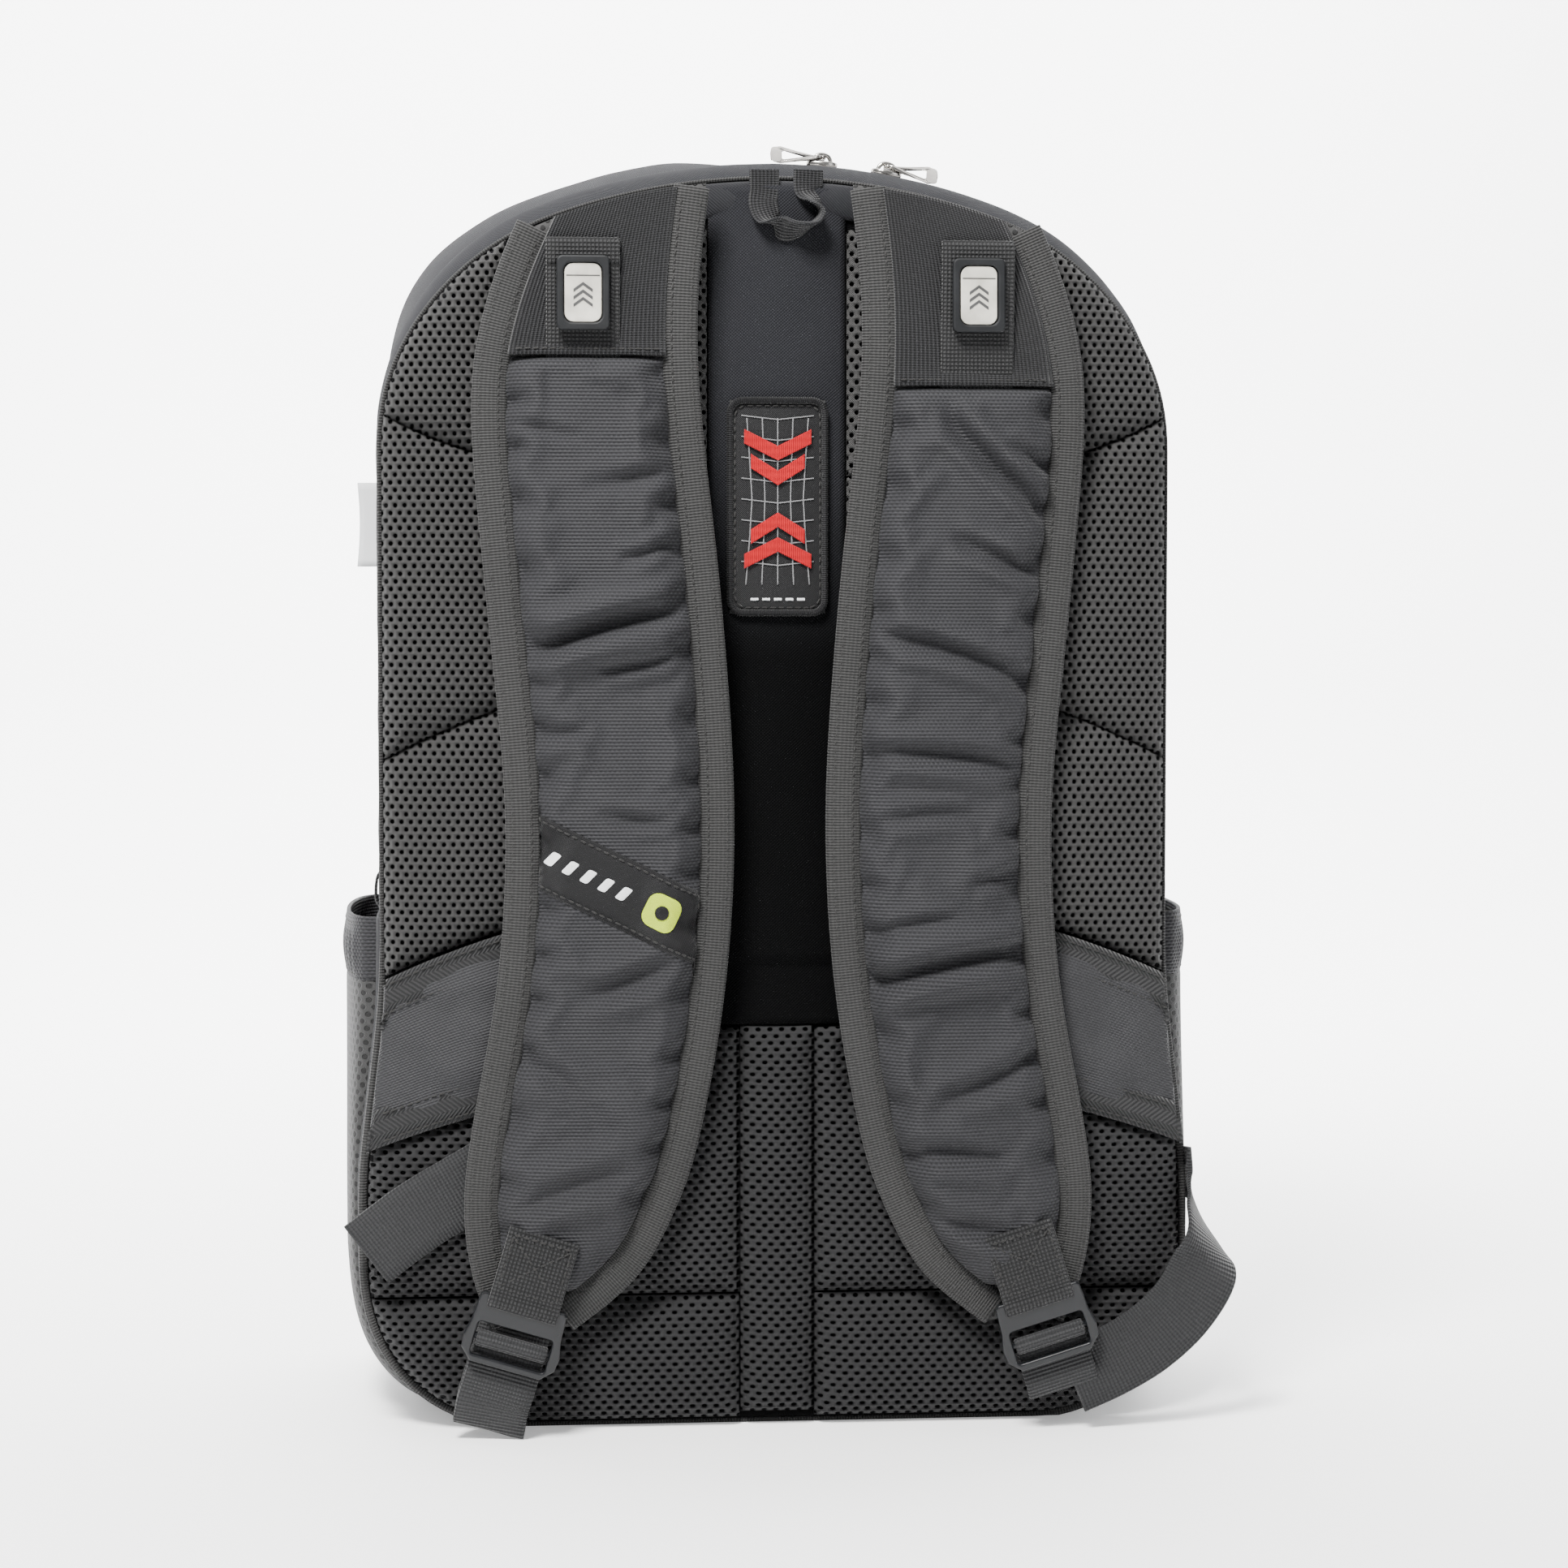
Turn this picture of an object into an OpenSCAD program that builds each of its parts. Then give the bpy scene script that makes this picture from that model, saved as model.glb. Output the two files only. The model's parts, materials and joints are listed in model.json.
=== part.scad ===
// Racket backpack: a hinged clamshell body, padded air-mesh back, two shoulder straps with
// adjuster buckles, side bottle pockets, a zipped racket pocket and a zipped front pocket.
// Millimetres. +Z is up, the shoulder straps face -Y, and the origin is on the floor under the
// middle of the body. "Right" is the +X side.

/* [Body] */
// Width of the body between the side seams, above the waist
body_w = 306; // [250:1:380]
// How much wider the lower body is than the upper one
tub_flare = 16; // [4:1:40]
// Height of the top seam
body_h = 492; // [420:1:600]
// Depth from the back panel to the front panel
body_d = 149; // [110:1:200]
// Radius of the arch along the top
top_r = 260; // [230:1:320]
// Radius of the shoulders of the body
corner_r = 95; // [70:1:115]
// Radius of the bottom corners
base_r = 60; // [30:1:75]
// Height at which the front panel folds open
split_z = 200; // [180:1:220]
// Height at which the sides start to widen
waist_z = 165; // [140:1:175]
// Height at which the belly is full
belly_z = 100; // [80:1:120]
// Thickness of a lined fabric wall
wall_t = 3; // [2:0.5:5]
// Thickness of the foam back panel
back_t = 5; // [3:0.5:8]
// Thickness of the plastic frame sheet
board_t = 1.6; // [1:0.2:3]
// Thickness of a single layer of trim fabric
cloth_t = 1.2; // [0.8:0.1:2]

/* [Back padding] */
// Thickness of the air-mesh pads
pad_t = 10; // [6:1:14]
// Width of the air channel between the upper pads
channel_w = 54; // [40:1:60]
// Width of the channelled pad down the middle of the lumbar pad
spine_w = 30; // [20:1:40]
// Width of the sewn creases between pads
crease_w = 2; // [1:0.5:4]
// Height of the lumbar pad at the middle
lumbar_h = 158; // [130:1:170]
// Height of the wing panels' upper edge at the side seam
wing_top_z = 172; // [160:1:176]
// Height of the wing panels' lower edge at the side seam
wing_low_z = 110; // [96:1:120]
// Rise of the wing panels' upper edge towards the middle
wing_rise = 34; // [20:1:45]
// Width of the webbing that trims the wing panels
trim_w = 16; // [10:1:20]
// Width of the sewn patch in the air channel
patch_w = 39; // [30:1:44]
// Height of the sewn patch in the air channel
patch_h = 84; // [60:1:100]

/* [Main zip] */
// Distance of the main zip behind the back panel's outer face
zip_in = 29; // [24:1:40]
// Width of the zip between the two gussets
zip_w = 12; // [10:1:16]
// Width of the coil chain
chain_w = 6; // [4:0.5:8]
// Thickness of the coil chain
chain_t = 2.4; // [1.6:0.2:3]
// Thickness of the zip tape
tape_t = 0.8; // [0.5:0.1:1.2]
// Length of a slider
slider_l = 12; // [9:0.5:16]
// Width of a slider
slider_w = 9; // [7:0.5:11]
// Length of a slider's pull
pull_l = 22; // [16:1:30]

/* [Shoulder straps] */
// Thickness of the strap's flat sewn layer
flange_t = 3; // [2:0.5:4]
// Thickness of the strap's foam cushion
cushion_t = 9; // [6:1:13]
// Width of the binding along each strap edge
binding_w = 13; // [9:1:16]
// Air gap between the back pads and the straps
strap_gap = 5; // [4:0.5:8]
// Drop of the strap's seam below the top seam
strap_drop = 10; // [8:1:16]
// Height of the buckle's hinge bar above the floor
buckle_z = 53; // [46:1:70]
// Distance of the buckle's hinge bar from the middle
buckle_x = 99; // [90:1:108]
// Outward lean of the strap ends in degrees
buckle_lean = 17; // [0:1:22]
// Width of the webbing
webbing_w = 28; // [20:1:30]
// Thickness of the webbing
webbing_t = 1.4; // [1:0.1:2]
// Height of the ribbed webbing panel on the left strap
yoke_left_h = 66; // [50:1:90]
// Height of the ribbed webbing panel on the right strap
yoke_right_h = 77; // [50:1:90]
// Height of the box-stitched tab above the buckle
tab_h = 29; // [24:1:36]

/* [Buckle] */
// Thickness of the buckle
buckle_t = 4; // [3:0.5:6]
// Height of the buckle below its hinge bar
buckle_h = 25; // [22:1:30]
// Width of each side arm of the buckle
arm_w = 3.4; // [2.5:0.1:5]
// Radius of the hinge bar and of the middle bar
bar_r = 1.3; // [1:0.1:1.8]

/* [Pockets] */
// Drop of the side pockets' hems below the folding line
side_pocket_drop = 2; // [1:1:20]
// Depth of the side pockets from front to back
side_pocket_d = 104; // [80:1:110]
// How far the side pockets stand out from the waist
side_pocket_out = 16; // [14:1:30]
// Thickness of the mesh of the side pockets
mesh_t = 2; // [1.5:0.5:3]
// Height of the hem of the side pockets
hem_h = 25; // [15:1:35]
// Width of the racket pocket
racket_w = 200; // [160:1:230]
// Drop of the racket pocket's top below the top seam
racket_drop = 14; // [10:1:40]
// Height of the racket pocket's bottom above the folding line
racket_up = 35; // [30:1:60]
// How far the racket pocket stands out
racket_d = 24; // [18:1:36]
// Radius of the racket pocket's top arch
racket_r = 200; // [170:1:240]
// Radius of the racket pocket's shoulders
racket_corner_r = 60; // [45:1:70]
// Width of the front pocket
front_w = 210; // [150:1:230]
// Drop of the front pocket's top below the folding line
front_drop = 20; // [16:1:40]
// Height of the front pocket's bottom
front_low = 28; // [20:1:50]
// How far the front pocket stands out
front_d = 20; // [14:1:26]
// Radius of the front pocket's corners
front_r = 22; // [12:1:30]
// Height of the laptop sleeve
sleeve_h = 330; // [250:1:360]
// Width of the laptop sleeve
sleeve_w = 250; // [220:1:256]
// Depth of the laptop sleeve
sleeve_d = 22; // [12:1:30]
// Width of the carry loop
loop_w = 32; // [26:1:40]
// Drop of the carry loop
loop_drop = 21; // [18:1:30]
// Width of the webbing of the carry loop
loop_band = 12; // [8:1:16]

/* [Hidden] */
$fn = 48;

gap = 0.3;        // clearance between pieces that move past each other
half_w = body_w / 2;
half_tub = (body_w + tub_flare) / 2;
back_y = -body_d / 2;
front_y = body_d / 2;
pad_y = back_y - pad_t;              // outer face of the back padding
zip_y = back_y + zip_in;
top_c = body_h - top_r;              // height of the top arch's centre
flange_y = pad_y - strap_gap;        // back of the straps
cushion_y = flange_y - flange_t;     // front of the straps' sewn layer
face_y = cushion_y - cushion_t;      // front of the strap cushions
seam_in = strap_drop;                // inset of the strap seam from the outline
side_pocket_h = split_z - side_pocket_drop;
racket_top = body_h - racket_drop;
racket_low = split_z + racket_up;
front_top = split_z - front_drop;
ARC_STEP = 5;                        // degrees between the points of an arc

// Inner and outer edge of a shoulder strap at shares of its length, from the top seam down.
STRAP = [[0, 27, 92], [0.09, 31.5, 109], [0.19, 31, 117], [0.36, 23, 111.5], [0.54, 18, 104.5],
         [0.69, 21, 107.5], [0.825, 31, 118], [0.895, 41, 121], [0.955, 56, 117.5], [1, 80, 110]];
strap_top = body_h - seam_in;
strap_low = buckle_z - 11;           // the tip of the strap ends behind the buckle's plate

// ---------- outlines, in X and Z ----------

// Right half of an arch: shoulder arc, then top arc to the middle.
function arch_half(hw, top, tr, cr, inset) =
    let (ax = hw - cr, az = top - tr + sqrt(pow(tr - cr, 2) - ax * ax), meet = asin(ax / (tr - cr)))
    concat([for (a = [90:-ARC_STEP:meet + 1]) [ax + (cr - inset) * sin(a), az + (cr - inset) * cos(a)]],
           [for (a = [meet:-ARC_STEP / 2:1]) [(tr - inset) * sin(a), top - tr + (tr - inset) * cos(a)]],
           [[0, top - inset]]);

function mirrored(points) = [for (i = [len(points) - 1:-1:0]) [-points[i].x, points[i].y]];

function both_sides(points) = concat(points, mirrored(points));

function body_half(inset) = concat(
    [for (b = [0:10:90]) [half_tub - base_r + (base_r - inset) * sin(b), base_r - (base_r - inset) * cos(b)]],
    [[half_tub - inset, belly_z], [half_w - inset, waist_z]],
    arch_half(half_w, body_h, top_r, corner_r, inset));

function racket_half(inset) = concat(
    [[racket_w / 2 - inset, racket_low + inset]],
    arch_half(racket_w / 2, racket_top, racket_r, racket_corner_r, inset));

module body_area(inset = 0) polygon(both_sides(body_half(inset)));

module racket_area(inset = 0) polygon(both_sides(racket_half(inset)));

module heights(z0, z1) translate([-body_w, z0]) square([2 * body_w, z1 - z0]);

module body_band(inset0, inset1, z0, z1) {
    intersection() {
        difference() {
            body_area(inset0);
            body_area(inset1);
        }
        heights(z0, z1);
    }
}

// Extrudes an X-Z outline between two depths.
module slab(y0, y1) translate([0, max(y0, y1), 0]) rotate([90, 0, 0]) linear_extrude(abs(y1 - y0)) children();

module rounded_area(w, z0, z1, r) {
    for (x = [-w / 2 + r, w / 2 - r], z = [z0 + r, z1 - r]) translate([x, z]) circle(r);
    translate([-w / 2 + r, z0]) square([w - 2 * r, z1 - z0]);
    translate([-w / 2, z0 + r]) square([w, z1 - z0 - 2 * r]);
}

module at_right() children();

module at_left() mirror([1, 0, 0]) children();

// ---------- body shell ----------

module back_panel() color("#1b1c20") slab(back_y, back_y + back_t) body_area();

module back_board() color("#d8d8d2") slab(back_y + back_t, back_y + back_t + board_t) body_area(wall_t + 8);

module rim_gusset() color("#2b2d31")
    slab(back_y + back_t, zip_y - zip_w / 2) body_band(0, wall_t, split_z, body_h + 1);

module base_panel() color("#232529")
    slab(back_y + back_t, front_y - wall_t) body_band(0, wall_t, -1, base_r);

module gusset_lower() color("#2b2d31") slab(back_y + back_t, front_y - wall_t) intersection() {
    body_band(0, wall_t, base_r, split_z);
    translate([0, -1]) square([body_w, body_h]);
}

module front_panel_lower() color("#26282c") slab(front_y - wall_t, front_y) intersection() {
    body_area();
    heights(-1, split_z);
}

module gusset_upper() color("#2b2d31")
    slab(zip_y + zip_w / 2, front_y - wall_t) body_band(0, wall_t, split_z + gap, body_h + 1);

module front_panel_upper() color("#26282c") slab(front_y - wall_t, front_y) intersection() {
    body_area();
    heights(split_z + gap, body_h + 1);
}

sleeve_y = back_y + back_t + board_t;     // front of the frame sheet

// The sleeve's floor clears the base's rounded corners.
sleeve_in = max(0, sleeve_w / 2 - half_tub + base_r);
sleeve_low = max(wall_t, base_r - sqrt(pow(base_r - wall_t, 2) - sleeve_in * sleeve_in) + gap);

module laptop_sleeve() color("#3a3c40") translate([-sleeve_w / 2, sleeve_y, sleeve_low]) difference() {
    cube([sleeve_w, sleeve_d + wall_t, sleeve_h]);
    translate([wall_t, -1, wall_t]) cube([sleeve_w - 2 * wall_t, sleeve_d + 1, sleeve_h]);
}

// One half of a zip along an arch: tape against the gusset, coil chain at the middle.
module zip_half(y_edge, y_mid) {
    union() {
        slab(y_edge, y_mid) body_band(1.2, 1.2 + tape_t, split_z + gap, body_h);
        slab(y_mid, y_mid + sign(y_edge - y_mid) * chain_w / 2)
            body_band(0.4, 0.4 + chain_t, split_z + gap, body_h);
    }
}

module zip_rear() color("#141518") zip_half(zip_y - zip_w / 2, zip_y - gap / 2);

module zip_front() color("#141518") zip_half(zip_y + zip_w / 2, zip_y + gap / 2);

// ---------- back padding ----------

function crease_upper(x) = body_h - 112 + 16 * (abs(x) - channel_w / 2) / (half_w - channel_w / 2);

function crease_middle(x) =
    (crease_upper(0) + wing_top_z + wing_rise) / 2 - 4
    - 24 * (abs(x) - channel_w / 2) / (half_w - channel_w / 2);

function wing_upper(x) = wing_top_z + wing_rise * (half_tub - x) / (half_tub - channel_w / 2);

function wing_lower(x) = wing_low_z + 8 * (half_tub - x) / (half_tub - channel_w / 2);

yoke_in = seam_in + 15;          // inset of the yoke's lower edge from the outline
yoke_x = 104;                    // half the width of the yoke

module yoke_area(room = 0) intersection() {
    difference() {
        body_area(1);
        body_area(yoke_in + room);
    }
    translate([-yoke_x - room, body_h / 2]) square([2 * (yoke_x + room), body_h]);
}

module yoke_panel() color("#303237") slab(back_y - cloth_t, back_y) yoke_area();

module centre_panel() color("#17181c") slab(back_y - cloth_t, back_y) intersection() {
    body_area(yoke_in + gap);
    translate([-channel_w / 2 + gap, lumbar_h + gap]) square([channel_w - 2 * gap, body_h]);
}

module channel_patch() color("#111114") slab(back_y - 2 * cloth_t, back_y - cloth_t)
    rounded_area(patch_w, body_h - 176, body_h - 176 + patch_h, 6);

// A pad between two crease lines, given as heights at the channel and at the side.
module pad_between(low_in, low_out, high_in, high_out) {
    slab(pad_y, back_y) difference() {
        intersection() {
            body_area(3);
            polygon([[channel_w / 2, low_in + crease_w / 2], [half_tub, low_out + crease_w / 2],
                     [half_tub, high_out - crease_w / 2], [channel_w / 2, high_in - crease_w / 2]]);
        }
        yoke_area(gap);
    }
}

module mesh_pads() color("#2f3133") {
    inner = channel_w / 2;
    pad_between(crease_upper(inner), crease_upper(half_tub), body_h, body_h);
    pad_between(crease_middle(inner), crease_middle(half_tub), crease_upper(inner), crease_upper(half_tub));
    pad_between(wing_upper(inner), wing_upper(half_tub), crease_middle(inner), crease_middle(half_tub));
}

module lumbar_pads() color("#2a2c2e") {
    for (side = [0, 1]) mirror([side, 0, 0]) slab(pad_y, back_y) intersection() {
        body_area(4);
        polygon([[spine_w / 2 + crease_w / 2, -1], [half_tub, -1],
                 [half_tub, wing_lower(half_tub) - crease_w],
                 [channel_w / 2, wing_lower(channel_w / 2) - crease_w],
                 [channel_w / 2 - 4, lumbar_h - 6], [spine_w / 2 + crease_w / 2, lumbar_h - 3]]);
    }
    slab(pad_y, back_y) intersection() {
        body_area(4);
        translate([-spine_w / 2 + crease_w / 2, -1]) square([spine_w - crease_w, lumbar_h]);
    }
}

module wing_area(low_add, high_add) intersection() {
    body_area(5);
    polygon([[channel_w / 2 + gap, wing_lower(channel_w / 2) + low_add],
             [half_tub, wing_lower(half_tub) + low_add],
             [half_tub, wing_upper(half_tub) + high_add],
             [channel_w / 2 + gap, wing_upper(channel_w / 2) + high_add]]);
}

module wing_panels() color("#2c2e32") for (side = [0, 1]) mirror([side, 0, 0])
    slab(pad_y + 2, back_y) wing_area(0, -crease_w);

module wing_trims() color("#35373a") for (side = [0, 1]) mirror([side, 0, 0])
    slab(pad_y + 2 - webbing_t, pad_y + 2) difference() {
        wing_area(0, -crease_w);
        wing_area(trim_w, -crease_w - trim_w);
    }

module care_label() color("#e6e6e2") translate([-half_w - 12, 4, body_h - 156]) cube([12, tape_t, 34]);

// Small fabric tabs sewn beside the two ends of the main zip.
module zip_tabs() color("#2b2d31") for (side = [-1, 1])
    translate([side * (half_w + webbing_t) - webbing_t, zip_y - zip_w / 2 - 9, split_z + 2])
        cube([2 * webbing_t, 8, 14]);

// ---------- sliders and pulls, drawn at the top of their zip and moved into place ----------

slider_up = 1.3;                 // height of the slider's plate above the zip's outline
slider_t = 1.6;                  // thickness of the slider's plate
pin_up = slider_up + slider_t + 1.9;
pin_r = 0.75;
pull_w = 9;
pull_t = 1.6;

module slider_body() color("#b9b6ae") {
    difference() {
        union() {
            translate([-slider_l / 2, -slider_w / 2 - 1, slider_up]) cube([slider_l, slider_w - 1, slider_t]);
            translate([-slider_l / 2, -slider_w / 2 - 1, -0.8]) cube([slider_l, 1.2, slider_up + 1]);
            translate([-2.6, -1.5, slider_up]) cube([5.2, 3, pin_up - slider_up + 2]);
        }
        translate([0, -3, pin_up]) rotate([-90, 0, 0]) cylinder(r = pin_r + gap, h = 6);
    }
}

// The pull lies towards +X from its pin.
module pull_body() color("#c9c6be") {
    rotate([-90, 0, 0]) translate([0, 0, -pull_w / 2]) cylinder(r = pin_r, h = pull_w);
    difference() {
        translate([0, -pull_w / 2, -pull_t / 2]) cube([pull_l, pull_w, pull_t]);
        translate([-1, -pull_w / 2 + 1.6, -pull_t]) cube([pull_l * 0.55, pull_w - 3.2, 2 * pull_t]);
    }
}

left_angle = 4.4;                // rest places of the two sliders along the arch, in degrees
right_angle = 10;

module on_arch(angle, centre_z, r, y)
    translate([0, y, centre_z]) rotate([0, angle, 0]) translate([0, 0, r]) children();

module slider_left() on_arch(left_angle, top_c, top_r, zip_y) slider_body();

module slider_right() on_arch(right_angle, top_c, top_r, zip_y) slider_body();

module pull_left() on_arch(left_angle, top_c, top_r + pin_up, zip_y) mirror([1, 0, 0]) pull_body();

module pull_right() on_arch(right_angle, top_c, top_r + pin_up, zip_y) pull_body();

// ---------- racket pocket ----------

lid_t = 3.5;
racket_rim_y = front_y + racket_d - lid_t - gap;  // front of the racket pocket's zip
racket_slider_y = racket_rim_y - zip_w / 2;
racket_angle = 12;               // rest place of the racket pocket's slider
racket_zip_z = racket_low + 12;  // height of the two ends of the racket pocket's zip

module racket_band(inset0, inset1, z0, z1) intersection() {
    difference() {
        racket_area(inset0);
        racket_area(inset1);
    }
    heights(z0, z1);
}

module racket_gusset() color("#2b2d31") {
    slab(front_y, racket_rim_y - zip_w) racket_band(0, wall_t, racket_low - 1, body_h);
    slab(racket_rim_y - zip_w, racket_rim_y) racket_band(0, wall_t, racket_low - 1, racket_zip_z);
}

module racket_zip() color("#141518") {
    slab(racket_rim_y - zip_w, racket_rim_y) racket_band(1.2, 1.2 + tape_t, racket_zip_z, body_h);
    slab(racket_slider_y - chain_w / 2, racket_slider_y + chain_w / 2)
        racket_band(0.4, 0.4 + chain_t, racket_zip_z, body_h);
}

module racket_lid() color("#292b2f") slab(front_y + racket_d - lid_t, front_y + racket_d) racket_area();

module racket_slider() on_arch(racket_angle, racket_top - racket_r, racket_r, racket_slider_y) slider_body();

module racket_pull()
    on_arch(racket_angle, racket_top - racket_r, racket_r + pin_up, racket_slider_y) pull_body();

// ---------- front pocket ----------

front_zip_z = front_top - 24;    // height of the front pocket's zip
front_zip_w = front_w - 36;
front_slider_x = front_zip_w / 2 - 8;

module front_pocket() color("#292b2f") difference() {
    slab(front_y, front_y + front_d) rounded_area(front_w, front_low, front_top, front_r);
    slab(front_y, front_y + front_d - wall_t)
        rounded_area(front_w - 2 * wall_t, front_low + wall_t, front_top - wall_t, front_r - wall_t);
}

module front_pocket_zip() color("#141518")
    slab(front_y + front_d, front_y + front_d + chain_t / 2)
        translate([-front_zip_w / 2, front_zip_z - chain_w / 2]) square([front_zip_w, chain_w]);

module on_front_zip(up) translate([front_slider_x, front_y + front_d + chain_t / 2 - 0.4 + up, front_zip_z])
    rotate([-90, 0, 0]) children();

module front_slider() on_front_zip(0.9) color("#b9b6ae") difference() {
    union() {
        translate([-slider_l / 2, -slider_w / 2, 0]) cube([slider_l, slider_w, slider_t]);
        translate([-2.6, -1.5, 0]) cube([5.2, 3, pin_up - slider_up + 2]);
    }
    translate([0, -3, pin_up - slider_up]) rotate([-90, 0, 0]) cylinder(r = pin_r + gap, h = 6);
}

module front_pull() on_front_zip(0.9 + pin_up - slider_up) pull_body();

// ---------- side pockets ----------

pocket_x = half_w + side_pocket_out;
pocket_y0 = -side_pocket_d / 2;

module pocket_block(x0, x1, y0, y1, z0, z1) translate([x0, y0, z0]) cube([x1 - x0, y1 - y0, z1 - z0]);

// The body's side with a hair of room, to cut the pocket back from.
module beside_body() slab(back_y - 1, front_y + 1) body_area(-gap);

module side_pocket() color("#323435") difference() {
    pocket_block(half_w - 4, pocket_x, pocket_y0, -pocket_y0, 6, side_pocket_h - hem_h);
    pocket_block(half_w - 5, pocket_x - mesh_t, pocket_y0 + mesh_t, -pocket_y0 - mesh_t,
                 6 + mesh_t, side_pocket_h);
    beside_body();
}

module pocket_hems() color("#2d2f33") for (side = [0, 1]) mirror([side, 0, 0]) difference() {
    pocket_block(half_w - 4, pocket_x, pocket_y0, -pocket_y0, side_pocket_h - hem_h, side_pocket_h);
    pocket_block(half_w - 5, pocket_x - mesh_t, pocket_y0 + mesh_t, -pocket_y0 - mesh_t,
                 6, side_pocket_h + 1);
    beside_body();
}

// ---------- shoulder straps, drawn on the right ----------

function share_z(share) = strap_top - share * (strap_top - strap_low);

// Catmull-Rom point between the second and third of four values.
function spline(p, t) = 0.5 * (2 * p[1] + (p[2] - p[0]) * t + (2 * p[0] - 5 * p[1] + 4 * p[2] - p[3]) * t * t
                               + (3 * p[1] - p[0] - 3 * p[2] + p[3]) * t * t * t);

SPLINE_STEPS = 4;

function row_at(i) = STRAP[min(max(i, 0), len(STRAP) - 1)];

function strap_edge(column, inset) = concat([for (i = [0:len(STRAP) - 2], k = [0:SPLINE_STEPS - 1])
    let (t = k / SPLINE_STEPS, four = [row_at(i - 1), row_at(i), row_at(i + 1), row_at(i + 2)])
    [spline([for (r = four) r[column]], t) + inset, share_z(spline([for (r = four) r[0]], t))]],
    [[row_at(len(STRAP))[column] + inset, strap_low]]);

module strap_area(inset = 0) {
    outer = strap_edge(2, -inset);
    intersection() {
        polygon(concat(strap_edge(1, inset), [for (i = [len(outer) - 1:-1:0]) outer[i]]));
        body_area(seam_in + inset / 4);
        heights(strap_low + inset, body_h);
    }
}

// Flat layer with the seam lip that turns back to the yoke panel.
module strap_base() color("#343638") {
    slab(cushion_y, flange_y) strap_area();
    slab(flange_y, back_y - cloth_t - gap) intersection() {
        difference() {
            body_area(seam_in);
            body_area(seam_in + cloth_t);
        }
        translate([STRAP[0][1], strap_top - 30]) square([STRAP[0][2] - STRAP[0][1], 60]);
    }
}

// The cushion stops below a ribbed webbing panel of the given height.
module strap_cushion(yoke_h) color("#2d2e33") slab(face_y, cushion_y) intersection() {
    strap_area(binding_w);
    heights(strap_low, strap_top - yoke_h - gap);
}

module strap_yoke(yoke_h) color("#2c2e31") slab(cushion_y - webbing_t, cushion_y) intersection() {
    strap_area(binding_w);
    heights(strap_top - yoke_h, strap_top);
}

load_x = 75;                     // middle of the badge tab
load_high = strap_top - 23;
load_y = cushion_y - webbing_t;
badge_w = 20;
badge_h = 28;
badge_t = 3;
badge_low = load_high - badge_h - 6;

module load_tab(yoke_h) color("#303235") slab(load_y - 2 * webbing_t, load_y)
    translate([load_x - webbing_w / 2, strap_top - yoke_h + 1])
        square([webbing_w, load_high - strap_top + yoke_h - 1]);

module badge_frame() color("#2a2c2e")
    slab(load_y - 2 * webbing_t - badge_t, load_y - 2 * webbing_t) translate([load_x, 0]) difference() {
        rounded_area(badge_w, badge_low, badge_low + badge_h, 1.5);
        rounded_area(badge_w - 4, badge_low + 2, badge_low + badge_h - 2, 1);
    }

module badge_plate() color("#b4b1a4") slab(load_y - 2 * webbing_t - 1.6, load_y - 2 * webbing_t)
    translate([load_x, 0]) rounded_area(badge_w - 5, badge_low + 2.5, badge_low + badge_h - 2.5, 5);

// Straps' tabs and buckles are drawn hanging below their hinge bar and leaned outwards.
bar_y = face_y - webbing_t / 2 - 0.4;

module on_bar() translate([buckle_x, bar_y, buckle_z]) rotate([0, -buckle_lean, 0]) children();

module anchor_tab() color("#26282a") difference() {
    on_bar() difference() {
        union() {
            translate([-webbing_w / 2, face_y - bar_y - 2 * webbing_t, 1])
                cube([webbing_w, 2 * webbing_t, tab_h]);
            rotate([0, 90, 0]) cylinder(r = bar_r + gap + webbing_t, h = webbing_w, center = true);
        }
        rotate([0, 90, 0]) cylinder(r = bar_r + gap, h = webbing_w + 2, center = true);
    }
    slab(face_y, cushion_y) strap_area(binding_w);
}

plate_top = -(bar_r + gap + webbing_t + 0.6);
plate_low = plate_top - 5.5;
mid_bar = plate_low - 6;
bottom_bar = 2.6;
wrap_tail = buckle_h + mid_bar - bottom_bar - gap;  // webbing below the middle bar that turns with the buckle

// Frame outline: straight arms, wider below the middle, with cut lower corners.
module buckle_area() {
    inner = webbing_w / 2 + 0.8;
    difference() {
        polygon([for (s = [1, -1]) each s > 0
            ? [[inner + arm_w - 1, 1.8], [inner + arm_w - 0.6, plate_low],
               [inner + arm_w + 0.8, -buckle_h * 0.62], [inner + arm_w + 0.4, -buckle_h * 0.8],
               [inner - 1.5, -buckle_h]]
            : [[-inner + 1.5, -buckle_h], [-inner - arm_w - 0.4, -buckle_h * 0.8],
               [-inner - arm_w - 0.8, -buckle_h * 0.62], [-inner - arm_w + 0.6, plate_low],
               [-inner - arm_w + 1, 1.8]]]);
        translate([-inner, plate_top]) square([2 * inner, 10]);
        translate([-inner, -buckle_h + bottom_bar]) square([2 * inner, plate_low + buckle_h - bottom_bar]);
    }
}

module buckle() color("#2e3032") on_bar() {
    inner = webbing_w / 2 + 0.8;
    union() {
        translate([0, buckle_t / 2, 0]) rotate([90, 0, 0]) linear_extrude(buckle_t) buckle_area();
        for (z = [0, mid_bar]) translate([0, 0, z]) rotate([0, 90, 0])
            cylinder(r = bar_r, h = 2 * inner + 2, center = true);
    }
}

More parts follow.
